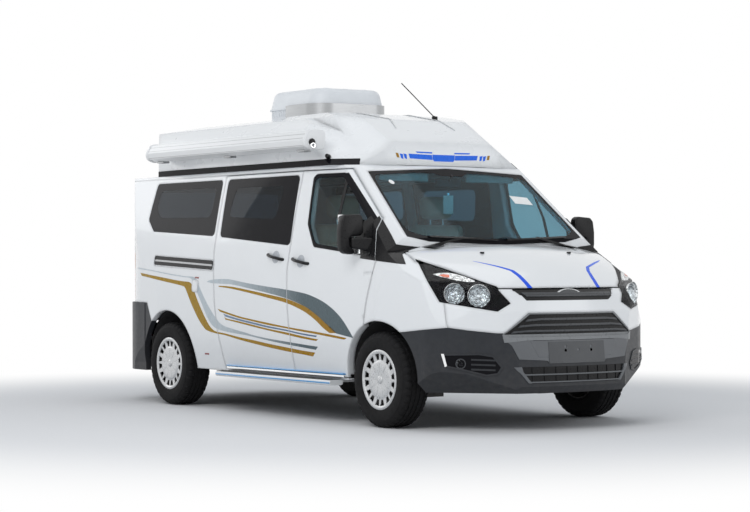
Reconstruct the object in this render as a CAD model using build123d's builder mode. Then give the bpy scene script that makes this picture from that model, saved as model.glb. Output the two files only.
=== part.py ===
from build123d import *
import os
from math import cos, hypot, radians, sin, sqrt

# ---------------------------------------------------------------------------
# Camper van with a high roof, panel by panel.  Millimetres.
# +X forward, +Y to the van's left, +Z up.  The origin lies on the ground under
# the middle of the overall length.
# ---------------------------------------------------------------------------

# ---- Overall layout
OVERALL_LENGTH = 4970
WHEELBASE = 2933
FRONT_OVERHANG = 955
FRONT_AXLE_X = OVERALL_LENGTH / 2 - FRONT_OVERHANG
REAR_AXLE_X = FRONT_AXLE_X - WHEELBASE
TRACK = 1730

# ---- Wheels
TYRE_RADIUS = 326
TYRE_WIDTH = 215
RIM_RADIUS = 192
RIM_WIDTH = 190
RIM_WALL = 10
HUB_RADIUS = 70
SPINDLE_RADIUS = 30
RUNNING_GAP = 0.3
WHEEL_Y = TRACK / 2

# ---- Body walls
WALL = 45
DOOR_THICKNESS = 60
DOOR_SKIN = 22
DOOR_REBATE = 20
WING_SKIN = 14
WINDOW_CORNER = 38
DOOR_HINGE_X = 1365
DOOR_HINGE_Y = 965
DOOR_HINGE_Z = 1000
DOOR_HINGE_LEAN = 0.05
DOOR_SWING_RADIUS = 142
DOOR_SWING_TOP = 1425
BONNET_HINGE_X = 1760
BONNET_HINGE_Z = 1236
BONNET_SWING_RADIUS = 154
BONNET_SWING_MARGIN = 14
LAMP_SWING_MARGIN = 32
HINGE_HEIGHTS = (750, 1050)
HINGE_PIN_RADIUS = 5
HINGE_PIN_LENGTH = 40
HINGE_EYE_RADIUS = 7
HINGE_PLATE_HEIGHT = 12
HINGE_REACH = 172
HINGE_POST = 30
BONNET_THICKNESS = 26
SEAM = 7
GLASS_DEPTH = 3
GLASS_THICKNESS = 6
SEAL_GAP = 0.3

# ---- Steel body, section across the van: (half width, height)
UNDERSIDE_Z = 255
SILL_Z = 318
SILL_LOW_Z = 305
SILL_HALF = 945
WAIST_HALF = 988
WAIST_Z = 700
SHOULDER_HALF = 962
SHOULDER_Z = 1140
GLASS_MID_HALF = 918
GLASS_MID_Z = 1450
GUTTER_HALF = 858
GUTTER_Z = 1785
ROOF_EDGE_HALF = 842
ROOF_Z = 1815

# ---- Nose, profile on the centre line, turned about a far upright axis
NOSE_AXIS_X = 630
BUMPER_LIP_X = OVERALL_LENGTH / 2
BONNET_FRONT_X = 2354
BONNET_FRONT_Z = 956
BONNET_LOW_Z = 950
BONNET_MID_X = 2130
BONNET_MID_Z = 1112
COWL_X = 1700
COWL_Z = 1245
COWL_HALF = 800
LEDGE_PAD_X = 1774
LEDGE_FRONT_X = 1802
LEDGE_LOW_Z = 1152

# ---- Windscreen and rear, also turned about far upright axes
SCREEN_BASE_X = 1727
SCREEN_BASE_Z = 1220
SCREEN_TOP_X = 974
SCREEN_ROUND = 7000
REAR_FACE_X = -2440
REAR_TOP_X = -2368
REAR_ROUND = 2500

# ---- High roof
ROOF_SHELL = 30
ROOF_STRIP_TOP_Z = 1862
ROOF_SHOULDER_HALF = 800
ROOF_SHOULDER_Z = 2090
ROOF_TOP_Z = 2245

# ---- Wheel arches
FRONT_ARCH_RADIUS = 400
REAR_ARCH_RADIUS = 420
ARCH_INNER_Y = 560
LINER_WALL = 8
FLAP_TOP_Z = 420

# ---- Floor and chassis
FLOOR_Z = 500
FLOOR_THICKNESS = 30
RAIL_Y = 420
RAIL_WIDTH = 80
RAIL_HEIGHT = 110

# ---- Side seams: (x, z), top to bottom
B_SEAM = ((418, 1800), (367, 1083), (447, 300))
C_SEAM = ((-676, 1800), (-713, 1203), (-609, 589), (-543, 300))
DOOR_FRONT_SEAM = ((1371, 1420), (1490, 1135), (1443, 965), (1400, 820), (1377, 700), (1377, 300))
DOOR_TOP_Z = 1782
DOOR_TOP_FRONT_X = 915
SIDE_TOP_Z = 1789

# ---- Side glass outlines: (x, z)
DOOR_GLASS = ((568, 1757), (578, 1395), (690, 1232), (1446, 1160), (1338, 1407), (890, 1757))
SLIDER_GLASS = ((386, 1757), (372, 1245), (-650, 1318), (-640, 1757))
QUARTER_GLASS = ((-715, 1757), (-735, 1324), (-1720, 1372), (-1830, 1467), (-1760, 1757))
SCREEN_GLASS_HALF = ((0, 1799), (690, 1766), (768, 1298), (600, 1264), (0, 1243))

# ---- Tail
TAILGATE_TOP_Z = 1783
TAILGATE_BOTTOM_Z = 640
TAILGATE_HALF_LOW = 745
TAILGATE_HALF_HIGH = 690
TAIL_GLASS_HALF = ((0, 1715), (600, 1705), (640, 1270), (0, 1250))
TAIL_LAMP_OUTLINE = ((752, 830), (940, 830), (940, 1330), (735, 1330))

# ---- Headlamp outline on a plane that faces forward and out: (along the plane, height)
LAMP_FACING = 40
LAMP_OUTLINE = ((-515, 1133), (-1051, 955), (-1148, 850), (-1065, 798), (-680, 860))

# ---- Grille outlines: (y, z)
GRILLE_OUTLINE = ((368, 787), (548, 650), (500, 628), (-500, 628), (-548, 650), (-368, 787))
LOWER_GRILLE_OUTLINE = ((484, 431), (394, 322), (-394, 322), (-484, 431))
UPPER_SLOT_OUTLINE = ((432, 940), (400, 903), (-400, 903), (-432, 940))

# ---- Roof equipment
AC_X = -590
AC_LENGTH = 760
AC_WIDTH = 660
AC_BASE_Z = ROOF_TOP_Z
AC_BAND_Z = 2315
AC_TOP_Z = 2462
AC_COVER_TAPER = 14
AC_COVER_ROUND = 60
AWNING_FRONT_X = 700
AWNING_REAR_X = -1620
AWNING_BACK_Y = 868
AWNING_DEPTH = 175
AWNING_LOW_Z = 1925
AWNING_HIGH_Z = 2065
ANTENNA_X = 440
ANTENNA_Y = 300
ANTENNA_BASE_Z = 2200
ANTENNA_LENGTH = 520

# ---- Floor length, front suspension and rear bumper
REAR_BUMPER_DEPTH = OVERALL_LENGTH / 2 + REAR_FACE_X
FLOOR_FRONT_X = 1470
FLOOR_REAR_X = -2380
BULKHEAD_TOP_Z = 1150
SUBFRAME_LOW_Z = 250
LOWER_JOINT_Y = 785
LOWER_JOINT_Z = 235
UPPER_JOINT_Y = 665
UPPER_JOINT_Z = 700
STRUT_RADIUS = 20
TOWER_RADIUS = 38
TOWER_Z = TYRE_RADIUS + sqrt((FRONT_ARCH_RADIUS + 4) ** 2 - TOWER_RADIUS ** 2) - SEAL_GAP
KNUCKLE_TOP_Z = 440
ARM_THICKNESS = 28

# ---- Mirrors, step and wipers: blade and arm outlines as (y, z)
MIRROR_TOP_Z = 1465
MIRROR_LOW_Z = 1235
MIRROR_OUTER_Y = 1136
STEP_FRONT_X = 1270
STEP_REAR_X = -520
WIPER_DEPTH = 14
BLADE = ((600, 1296), (600, 1308), (40, 1284), (40, 1272))
ARM = ((628, 1222), (662, 1228), (330, 1302), (316, 1288))

# ---- Cab
DASH_FRONT_X = 1438
DASH_REAR_X = 1180
COLUMN_ORIGIN = (1215, 420, 1057)
COLUMN_DIRECTION = (-0.87, 0, 0.5)
COLUMN_RADIUS = 22
SHROUD_END = 85
RIM_OFFSET = 155
STEERING_RADIUS = 180
STEERING_TUBE = 15
SEAT_X = 560

# ---- Other
WHEELS = [("front", FRONT_AXLE_X), ("rear", REAR_AXLE_X)]

SIDES = {"right": -1, "left": 1}
FAR = 3200
CUT_SPAN = 5 * FAR

# ---- Planes that take the corners off, as (share of x, share of z, total) in y + share x + share z = total
PILLAR_CUTS = ((0.161, 0.417, 1681), (0.857, 1.24, 3763))
NOSE_CUTS = ((0.161, 0.417, 1681), (0.857, 1.65, 4245), (0.857, 0.28, 2880), (0.857, -1.2, 2200))
ROOF_CUTS = ((0.865, 1.45, 4140),)


def trimmed(form, cuts, inset):
    """A form with its corners taken off by leaning planes where y + along x + up z = total, moved in by inset."""
    with BuildPart() as result:
        add(form)
        for along, up, total in cuts:
            for side in SIDES.values():
                lean = Plane(origin=(0, side * total, 0), x_dir=(side, -along, 0), z_dir=(along, side, up))
                with BuildSketch(lean.offset(-inset)):
                    Rectangle(CUT_SPAN, CUT_SPAN)
                extrude(amount=FAR, mode=Mode.SUBTRACT)
    return result.part


def draw_section(plane, inset, low, roof_drop):
    """Section across the steel body, moved inwards by inset and down by roof_drop, open to height low."""
    sill = (SILL_HALF - inset, SILL_Z)
    waist = (WAIST_HALF - inset, WAIST_Z)
    shoulder = (SHOULDER_HALF - inset, SHOULDER_Z)
    glass = (GLASS_MID_HALF - inset, GLASS_MID_Z)
    gutter = (GUTTER_HALF - inset, GUTTER_Z - roof_drop)
    edge = (ROOF_EDGE_HALF - inset, ROOF_Z - roof_drop)
    with BuildSketch(plane) as sketch:
        with BuildLine():
            Polyline((0, low), (sill[0], low), sill)
            ThreePointArc(sill, waist, shoulder)
            ThreePointArc(shoulder, glass, gutter)
            Polyline(gutter, edge, (0, ROOF_Z - roof_drop), (0, low))
        make_face()
        mirror(about=Plane.YZ)
    return sketch.sketch


def draw_plan(plane, inset):
    """Plan of the steel body: rounded nose corners and rounded tail corners."""
    corners = [(2600, 250), (2412, 470), (2240, 742), (2083, 905), (1450, 1000)]
    corners += [(-1400, 1000), (-2015, 948), (-2372, 742), (-2600, 560)]
    radii = [60, 300, 350, 260, 1500, 1500, 600, 160, 60]
    with BuildSketch(plane) as sketch:
        with BuildLine():
            FilletPolyline((2600, 0), *corners, (-2600, 0), radius=radii)
            Line((-2600, 0), (2600, 0))
        make_face()
        mirror(about=Plane.XZ)
        if inset:
            offset(amount=-inset, kind=Kind.INTERSECTION, mode=Mode.REPLACE)
    return sketch.sketch


def nose_form(inset, low):
    """Bonnet and front face, turned about a far upright axis."""
    lip_x = BUMPER_LIP_X - inset
    front = (BONNET_FRONT_X - 0.9 * inset, BONNET_FRONT_Z - 0.6 * inset)
    middle = (BONNET_MID_X - 0.45 * inset, BONNET_MID_Z - 0.9 * inset)
    cowl = (COWL_X, COWL_Z - inset)
    with BuildPart() as form:
        with BuildSketch(Plane.XZ):
            with BuildLine():
                Polyline(cowl, (NOSE_AXIS_X + 200, COWL_Z - inset), (NOSE_AXIS_X + 200, low), (lip_x - 30, low),
                         (lip_x, UNDERSIDE_Z + 45), (lip_x - 5, 420), (lip_x - 25, 600), (lip_x - 40, 790),
                         (lip_x - 84, 905), front)
                ThreePointArc(front, middle, cowl)
            make_face()
        revolve(axis=Axis((NOSE_AXIS_X, 0, 0), (0, 0, 1)))
    return form.part


def cabin_form(inset, low):
    """Everything behind the windscreen, turned about a far upright axis."""
    axis_x = SCREEN_BASE_X - SCREEN_ROUND
    slope = (ROOF_Z - SCREEN_BASE_Z) / (SCREEN_TOP_X - SCREEN_BASE_X)
    setback = inset * hypot(1, slope) / -slope
    foot_x = COWL_X - 60 - setback
    foot_z = SCREEN_BASE_Z + slope * (foot_x + setback - SCREEN_BASE_X)
    top_x = SCREEN_TOP_X - setback
    with BuildPart() as form:
        with BuildSketch(Plane.XZ):
            with BuildLine():
                Polyline((axis_x, low), (foot_x, low), (foot_x, foot_z), (top_x, ROOF_Z),
                         (top_x - 40, ROOF_Z + 300), (axis_x, ROOF_Z + 300), close=True)
            make_face()
        revolve(axis=Axis((axis_x, 0, 0), (0, 0, 1)))
    return form.part


def tail_form(inset, low):
    """Rear face: upright below the belt, leaning forward above it."""
    axis_x = REAR_FACE_X + REAR_ROUND
    with BuildPart() as form:
        with BuildSketch(Plane.XZ):
            with BuildLine():
                Polyline((axis_x, low), (REAR_FACE_X + inset, low), (REAR_FACE_X + inset, 1050),
                         (REAR_TOP_X + inset, ROOF_Z), (REAR_TOP_X + inset, ROOF_Z + 300),
                         (axis_x, ROOF_Z + 300), close=True)
            make_face()
        revolve(axis=Axis((axis_x, 0, 0), (0, 0, 1)))
    return form.part


def envelope(inset, low=UNDERSIDE_Z):
    """The steel body as one closed form, moved inwards by inset, open down to height low."""
    with BuildPart() as block:
        extrude(draw_section(Plane.YZ.offset(-FAR), inset, low, inset), amount=2 * FAR)
        extrude(draw_plan(Plane.XY.offset(low - FAR), inset), amount=3 * FAR, mode=Mode.INTERSECT)
        add(tail_form(inset, low), mode=Mode.INTERSECT)
    with BuildPart() as front:
        add(block.part)
        add(nose_form(inset, low), mode=Mode.INTERSECT)
    with BuildPart() as cabin:
        add(block.part)
        add(cabin_form(inset, low), mode=Mode.INTERSECT)
    with BuildPart() as form:
        add(trimmed(cabin.part, PILLAR_CUTS, inset))
        add(trimmed(front.part, NOSE_CUTS, inset))
    return form.part


def side_form(inset):
    """The body's two sides alone, moved inwards by inset, with the roof left where it is."""
    with BuildPart() as form:
        extrude(draw_section(Plane.YZ.offset(-FAR), inset, 0, 0), amount=2 * FAR)
        extrude(draw_plan(Plane.XY.offset(-FAR), inset), amount=3 * FAR, mode=Mode.INTERSECT)
    return trimmed(form.part, PILLAR_CUTS, inset)


def side_prism(outline, side, grow=0, inner=300, outer=1300, corner=0):
    """An outline given as (x, z) carried across one side of the van, from inner to outer."""
    with BuildPart() as prism:
        with BuildSketch(Plane.XZ.offset(-side * inner)) as drawn:
            with BuildLine():
                Polyline(*outline, close=True)
            make_face()
            if corner:
                fillet(drawn.vertices(), corner)
            if grow:
                offset(amount=grow, kind=Kind.INTERSECTION, mode=Mode.REPLACE)
        extrude(amount=-side * (outer - inner))
    return prism.part


def front_prism(outline, start, end, grow=0):
    """An outline given as (y, z) carried along the van, from x = start to x = end."""
    with BuildPart() as prism:
        with BuildSketch(Plane.YZ.offset(start)):
            with BuildLine():
                Polyline(*outline, close=True)
            make_face()
            if grow:
                offset(amount=grow, kind=Kind.INTERSECTION, mode=Mode.REPLACE)
        extrude(amount=end - start)
    return prism.part


def plan_prism(outline, bottom, top, grow=0):
    """An outline given as (x, y) carried up from bottom to top."""
    with BuildPart() as prism:
        with BuildSketch(Plane.XY.offset(bottom)):
            with BuildLine():
                Polyline(*outline, close=True)
            make_face()
            if grow:
                offset(amount=grow, kind=Kind.INTERSECTION, mode=Mode.REPLACE)
        extrude(amount=top - bottom)
    return prism.part


def block(low, high):
    """An upright box between two corners."""
    with BuildPart() as box:
        with Locations(tuple((a + b) / 2 for a, b in zip(low, high))):
            Box(*[b - a for a, b in zip(low, high)])
    return box.part


def across(axle_x, radius, inner, outer):
    """A pair of cylinders across the van about an axle, one each side."""
    with BuildPart() as pair:
        for side in SIDES.values():
            with BuildSketch(Plane.XZ.offset(-side * inner)):
                with Locations((axle_x, TYRE_RADIUS)):
                    Circle(radius)
            extrude(amount=-side * (outer - inner))
    return pair.part


def hinge_plane(side, height):
    """Plane across a front door's hinge axis, at a height along the axis."""
    foot = (DOOR_HINGE_X, side * (DOOR_HINGE_Y + DOOR_HINGE_LEAN * DOOR_HINGE_Z), 0)
    return Plane(origin=foot, x_dir=(1, 0, 0), z_dir=(0, -side * DOOR_HINGE_LEAN, 1)).offset(height)


def save(part, name):
    """Label a finished piece and write it as one STEP file."""
    part.label = name
    export_step(part, "parts/" + name + ".step")

os.makedirs("parts", exist_ok=True)

# ---- Body forms at the depths that the panels need
outer_form = envelope(0)
cavity_form = envelope(WALL, low=0)
door_skin_form = side_form(DOOR_SKIN)
door_trim_form = side_form(DOOR_THICKNESS)
glass_outer_form = envelope(GLASS_DEPTH)
glass_inner_form = envelope(GLASS_DEPTH + GLASS_THICKNESS)
wheel_arches = across(FRONT_AXLE_X, FRONT_ARCH_RADIUS, ARCH_INNER_Y, 1300)
wheel_arches += across(REAR_AXLE_X, REAR_ARCH_RADIUS, ARCH_INNER_Y, 1300)

with BuildPart() as shell:
    add(outer_form)
    add(cavity_form, mode=Mode.SUBTRACT)
    add(wheel_arches, mode=Mode.SUBTRACT)

# ---- Panel outlines worked out from the seams
half_seam = SEAM / 2
door_outline = [(x + half_seam, z) for x, z in B_SEAM[1:]] + [(x - half_seam, z) for x, z in DOOR_FRONT_SEAM[::-1]]
door_outline = [(B_SEAM[0][0] + half_seam, DOOR_TOP_Z)] + door_outline + [(DOOR_TOP_FRONT_X, DOOR_TOP_Z)]
door_outline = [(x, max(z, SILL_Z + SEAM)) for x, z in door_outline]
slider_outline = [(x - half_seam, z) for x, z in B_SEAM[1:]] + [(x + half_seam, z) for x, z in C_SEAM[:0:-1]]
slider_outline = [(B_SEAM[0][0] - half_seam, DOOR_TOP_Z)] + slider_outline + [(C_SEAM[0][0] + half_seam, DOOR_TOP_Z)]
slider_outline = [(x, max(z, SILL_Z + SEAM)) for x, z in slider_outline]
bonnet_half = [(1752, 0), (1735, 400), (1655, 832), (1792, 836), (2040, 700), (2278, 537), (2335, 300), (2352, 0)]
bonnet_outline = bonnet_half + [(x, -y) for x, y in bonnet_half[-2:0:-1]]
bumper_outline = [(1500, 100), (1500, 655), (1766, 655), (2150, 692), (2341, 655), (2700, 655), (2700, 100)]
nose_outline = [(2145, 600), (2145, 690), (2100, 860), (2215, 862), (2225, BONNET_LOW_Z - SEAM)]
nose_outline += [(2700, BONNET_LOW_Z - SEAM), (2700, 600)]
screen_outline = [(y, z) for y, z in SCREEN_GLASS_HALF] + [(-y, z) for y, z in SCREEN_GLASS_HALF[-2:0:-1]]
tail_bumper_outline = [(-1500, 100), (-1500, 655), (-1675, 655), (-1760, 800), (-2700, 800), (-2700, 100)]
tailgate_outline = [(TAILGATE_HALF_LOW, TAILGATE_BOTTOM_Z), (TAILGATE_HALF_HIGH, TAILGATE_TOP_Z),
                    (-TAILGATE_HALF_HIGH, TAILGATE_TOP_Z), (-TAILGATE_HALF_LOW, TAILGATE_BOTTOM_Z)]
tail_glass_outline = [(y, z) for y, z in TAIL_GLASS_HALF] + [(-y, z) for y, z in TAIL_GLASS_HALF[-2:0:-1]]

# ---- Headlamps: their outline lies on a plane that faces forward and out
def lamp_prism(side, grow=0, depth=900):
    """Headlamp outline carried along the way the lamp faces."""
    facing = (cos(radians(LAMP_FACING)), side * sin(radians(LAMP_FACING)), 0)
    along = (-sin(radians(LAMP_FACING)), side * cos(radians(LAMP_FACING)), 0)
    plane = Plane(origin=(1500 * facing[0], 1500 * facing[1], 0), x_dir=along, z_dir=facing)
    up = plane.y_dir.Z
    with BuildPart() as prism:
        with BuildSketch(plane):
            with BuildLine():
                Polyline(*[(u, v * up) for u, v in LAMP_OUTLINE], close=True)
            make_face()
            if grow:
                offset(amount=grow, kind=Kind.INTERSECTION, mode=Mode.REPLACE)
        extrude(amount=2 * depth)
    return prism.part


lamp_cut = lamp_prism(1, SEAL_GAP) + lamp_prism(-1, SEAL_GAP)
lamp_gap = lamp_prism(1, SEAM) + lamp_prism(-1, SEAM)
lamp_body = lamp_prism(1) + lamp_prism(-1)

# ---- Room behind the wings and screen pillars for the leading edge of an opening front door
with BuildPart() as door_swing:
    for side in SIDES.values():
        with BuildSketch(hinge_plane(side, 0)):
            Circle(DOOR_SWING_RADIUS)
        extrude(amount=DOOR_SWING_TOP)
    add(envelope(WING_SKIN), mode=Mode.INTERSECT)


def bonnet_swing(margin):
    """Room for the rear corners of an opening bonnet, this far outside its edge."""
    with BuildPart() as room:
        with BuildSketch(Plane.XZ.offset(-1000)):
            with Locations((BONNET_HINGE_X, BONNET_HINGE_Z)):
                Circle(BONNET_SWING_RADIUS)
        extrude(amount=2000)
        add(plan_prism(bonnet_outline, 1000, 1400, margin), mode=Mode.INTERSECT)
    return room.part


# ---- Roof frame: cantrails, roof rim, screen pillars, cowl and the posts behind the front doors
frame_zone = block((REAR_TOP_X + 25, -1100, SIDE_TOP_Z), (SCREEN_TOP_X + 400, 1100, ROOF_Z + 10))
frame_zone += block((900, -1100, 1200), (1800, 1100, ROOF_Z + 10))
frame_zone += block((1500, -COWL_HALF, 1100), (1800, COWL_HALF, 1200))
with BuildPart() as ledge_pad:
    add(envelope(BONNET_THICKNESS + SEAL_GAP))
    add(block((LEDGE_PAD_X, -60, LEDGE_LOW_Z), (LEDGE_FRONT_X, 60, 1300)), mode=Mode.INTERSECT)
bonnet_ledge = ledge_pad.part + block((1690, -300, LEDGE_LOW_Z), (LEDGE_FRONT_X, 300, LEDGE_LOW_Z + 28))
bonnet_ledge += block((1690, -300, LEDGE_LOW_Z), (1728, 300, 1212))
roof_opening = block((-2050, -640, 1500), (640, 640, 1900))
with BuildPart() as roof_frame:
    add(shell.part)
    add(frame_zone, mode=Mode.INTERSECT)
    add(roof_opening, mode=Mode.SUBTRACT)
    add(front_prism(screen_outline, 800, 1900), mode=Mode.SUBTRACT)
    add(plan_prism(bonnet_outline, 900, 1700, SEAM), mode=Mode.SUBTRACT)
    add(bonnet_ledge)
    for side in SIDES.values():
        add(side_prism(door_outline, side, SEAM, 500), mode=Mode.SUBTRACT)
    add(door_swing.part, mode=Mode.SUBTRACT)
save(roof_frame.part, "roof_frame")

with BuildPart() as windscreen:
    add(glass_outer_form)
    add(glass_inner_form, mode=Mode.SUBTRACT)
    add(front_prism(screen_outline, 800, 1900, -SEAL_GAP), mode=Mode.INTERSECT)
save(windscreen.part, "windscreen")

# ---- Body sides, from the front arch to the tail, with the glass apertures cut
for name, side in SIDES.items():
    with BuildPart() as body_side:
        add(shell.part)
        low_y, high_y = sorted((side * 300, side * 1100))
        add(block((-2600, low_y, SILL_LOW_Z), (1200, high_y, SIDE_TOP_Z)), mode=Mode.INTERSECT)
        add(front_prism([(side * y, z) for y, z in TAIL_LAMP_OUTLINE], -2700, -2050, 1), mode=Mode.SUBTRACT)
        add(side_prism(door_outline, side, SEAM), mode=Mode.SUBTRACT)
        add(block((B_SEAM[1][0], -1100, SILL_Z + 3), (1600, 1100, 2000)), mode=Mode.SUBTRACT)
        add(side_prism(QUARTER_GLASS, side, corner=WINDOW_CORNER), mode=Mode.SUBTRACT)
        if side < 0:
            add(side_prism(slider_outline, side, SEAM), mode=Mode.SUBTRACT)
        else:
            add(side_prism(SLIDER_GLASS, side, corner=WINDOW_CORNER), mode=Mode.SUBTRACT)
        add(side_prism(tail_bumper_outline, side, 2), mode=Mode.SUBTRACT)
        add(front_prism(tailgate_outline, -2700, -2150, SEAM), mode=Mode.SUBTRACT)
        add(block((-2600, -720, 200), (-2150, 720, 700)), mode=Mode.SUBTRACT)
        add(roof_opening, mode=Mode.SUBTRACT)
    save(body_side.part, "body_side_" + name)

# ---- Nose: bonnet, wings, nose panel, bumper, grilles and headlamps

with BuildPart() as bonnet:
    add(outer_form)
    add(envelope(BONNET_THICKNESS), mode=Mode.SUBTRACT)
    add(plan_prism(bonnet_outline, BONNET_LOW_Z, 1700), mode=Mode.INTERSECT)
    add(lamp_gap, mode=Mode.SUBTRACT)
save(bonnet.part, "bonnet")

bonnet_gap = plan_prism(bonnet_outline, BONNET_LOW_Z - SEAM, 1700, SEAM)
bumper_zone = side_prism(bumper_outline, 1, 0, -1300, 1300)
nose_zone = side_prism(nose_outline, 1, 0, -1300, 1300)
with BuildPart() as front_wings:
    add(shell.part)
    add(block((1250, -1100, 100), (2600, 1100, 1200)), mode=Mode.INTERSECT)
    add(block((1500, -COWL_HALF, 1100), (1800, COWL_HALF, 1200)), mode=Mode.SUBTRACT)
    for side in SIDES.values():
        add(side_prism(door_outline, side, SEAM, 500), mode=Mode.SUBTRACT)
    for cutter in (bonnet_gap, lamp_cut, bumper_zone, nose_zone):
        add(cutter, mode=Mode.SUBTRACT)
    add(block((1000, -1100, 0), (1500, 1100, 640)), mode=Mode.SUBTRACT)
    add(block((1800, -434, 600), (2600, 434, 1200)), mode=Mode.SUBTRACT)
    add(door_swing.part, mode=Mode.SUBTRACT)
    add(bonnet_swing(BONNET_SWING_MARGIN), mode=Mode.SUBTRACT)
wing_solids = front_wings.part.solids().sort_by(SortBy.VOLUME)[-2:]
save(Compound(children=wing_solids), "front_wings")

with BuildPart() as nose_panel:
    add(shell.part)
    add(nose_zone, mode=Mode.INTERSECT)
    for cutter in (bonnet_gap, lamp_cut, bumper_zone):
        add(cutter, mode=Mode.SUBTRACT)
    add(front_prism(GRILLE_OUTLINE, 1900, 2600), mode=Mode.SUBTRACT)
    add(front_prism(UPPER_SLOT_OUTLINE, 1900, 2600, SEAL_GAP), mode=Mode.SUBTRACT)
    add(block((1900, -432, 930), (2600, 432, 980)), mode=Mode.SUBTRACT)
save(nose_panel.part, "nose_panel")

with BuildPart() as front_bumper:
    add(shell.part)
    add(bumper_zone, mode=Mode.INTERSECT)
    add(front_prism(GRILLE_OUTLINE, 1900, 2600), mode=Mode.SUBTRACT)
    add(front_prism(LOWER_GRILLE_OUTLINE, 1900, 2600), mode=Mode.SUBTRACT)
save(front_bumper.part, "front_bumper")

grille_outer = envelope(8)
grille_inner = envelope(26)
grille_outlines = (GRILLE_OUTLINE, LOWER_GRILLE_OUTLINE, UPPER_SLOT_OUTLINE)
with BuildPart() as grilles:
    add(grille_outer)
    add(grille_inner, mode=Mode.SUBTRACT)
    add([front_prism(outline, 1900, 2600, -SEAL_GAP) for outline in grille_outlines], mode=Mode.INTERSECT)
save(grilles.part, "grilles")

with BuildPart() as headlamps:
    add(outer_form)
    add(envelope(120), mode=Mode.SUBTRACT)
    add(lamp_body, mode=Mode.INTERSECT)
    add(block((1000, -430, 700), (2600, 430, 1200)), mode=Mode.SUBTRACT)
    add(bonnet_swing(LAMP_SWING_MARGIN), mode=Mode.SUBTRACT)
save(headlamps.part, "headlamps")

# ---- Front door hinges: fixed plates with pins, from the dashboard's ends and the wheel housings
with BuildPart() as door_hinges:
    for side in SIDES.values():
        for height in HINGE_HEIGHTS:
            with BuildSketch(hinge_plane(side, height - HINGE_PLATE_HEIGHT / 2)):
                Circle(HINGE_EYE_RADIUS)
                with Locations((0, -side * HINGE_REACH / 2)):
                    Rectangle(2 * HINGE_EYE_RADIUS, HINGE_REACH)
            extrude(amount=HINGE_PLATE_HEIGHT)
            with BuildSketch(hinge_plane(side, height - HINGE_PIN_LENGTH / 2)):
                Circle(HINGE_PIN_RADIUS)
            extrude(amount=HINGE_PIN_LENGTH)
        post_y = sorted((side * (DOOR_HINGE_Y - HINGE_REACH + 16), side * (DOOR_HINGE_Y - HINGE_REACH + 16 + HINGE_POST)))
        foot_z = TYRE_RADIUS + FRONT_ARCH_RADIUS - 20
        add(block((DOOR_HINGE_X - 7, post_y[0], foot_z - 5), (DOOR_HINGE_X + 7, post_y[1], HINGE_HEIGHTS[0])))
    add(across(FRONT_AXLE_X, FRONT_ARCH_RADIUS + 4 + LINER_WALL, ARCH_INNER_Y, 1300), mode=Mode.SUBTRACT)
    add(block((1100, -800, 780), (1500, 800, 1200)), mode=Mode.SUBTRACT)
save(door_hinges.part, "door_hinges")

# ---- Doors
for name, side in SIDES.items():
    with BuildPart() as hinge_room:
        for height in HINGE_HEIGHTS:
            with BuildSketch(hinge_plane(side, height - HINGE_PLATE_HEIGHT / 2 - RUNNING_GAP)):
                with Locations((100 - HINGE_EYE_RADIUS - 0.5, -side * (100 - HINGE_EYE_RADIUS - 0.5))):
                    Rectangle(200, 200)
            extrude(amount=HINGE_PLATE_HEIGHT + 2 * RUNNING_GAP)
            with BuildSketch(hinge_plane(side, height - HINGE_PIN_LENGTH / 2 - RUNNING_GAP)):
                Circle(HINGE_PIN_RADIUS + RUNNING_GAP)
            extrude(amount=HINGE_PIN_LENGTH + 2 * RUNNING_GAP)
    with BuildPart() as door_box:
        add(outer_form)
        add(door_trim_form, mode=Mode.SUBTRACT)
        add(side_prism(door_outline, side, -DOOR_REBATE), mode=Mode.INTERSECT)
    with BuildPart() as front_door:
        add(outer_form)
        add(door_skin_form, mode=Mode.SUBTRACT)
        add(side_prism(door_outline, side), mode=Mode.INTERSECT)
        add(door_box.part)
        add(side_prism(DOOR_GLASS, side, corner=WINDOW_CORNER), mode=Mode.SUBTRACT)
        add(wheel_arches, mode=Mode.SUBTRACT)
        add(hinge_room.part, mode=Mode.SUBTRACT)
    save(front_door.part, "front_door_" + name)
    with BuildPart() as door_glass:
        add(glass_outer_form)
        add(glass_inner_form, mode=Mode.SUBTRACT)
        add(side_prism(DOOR_GLASS, side, -SEAL_GAP, corner=WINDOW_CORNER), mode=Mode.INTERSECT)
    save(door_glass.part, "front_door_glass_" + name)

with BuildPart() as sliding_door:
    add(outer_form)
    add(door_trim_form, mode=Mode.SUBTRACT)
    add(side_prism(slider_outline, SIDES["right"]), mode=Mode.INTERSECT)
    add(side_prism(SLIDER_GLASS, SIDES["right"], corner=WINDOW_CORNER), mode=Mode.SUBTRACT)
save(sliding_door.part, "sliding_door")

window_zone = []
for glass in (SLIDER_GLASS, QUARTER_GLASS):
    window_zone += [side_prism(glass, side, -SEAL_GAP, corner=WINDOW_CORNER) for side in SIDES.values()]
with BuildPart() as side_windows:
    add(glass_outer_form)
    add(glass_inner_form, mode=Mode.SUBTRACT)
    add(window_zone, mode=Mode.INTERSECT)
save(side_windows.part, "side_windows")

# ---- Tail: tailgate and its glass, bumper, lamps
with BuildPart() as tailgate:
    add(outer_form)
    add(envelope(DOOR_THICKNESS, low=0), mode=Mode.SUBTRACT)
    add(front_prism(tailgate_outline, -2700, -2150), mode=Mode.INTERSECT)
    add(front_prism(tail_glass_outline, -2700, -2150), mode=Mode.SUBTRACT)
save(tailgate.part, "tailgate")

with BuildPart() as tailgate_glass:
    add(glass_outer_form)
    add(glass_inner_form, mode=Mode.SUBTRACT)
    add(front_prism(tail_glass_outline, -2700, -2150, -SEAL_GAP), mode=Mode.INTERSECT)
save(tailgate_glass.part, "tailgate_glass")

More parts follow.
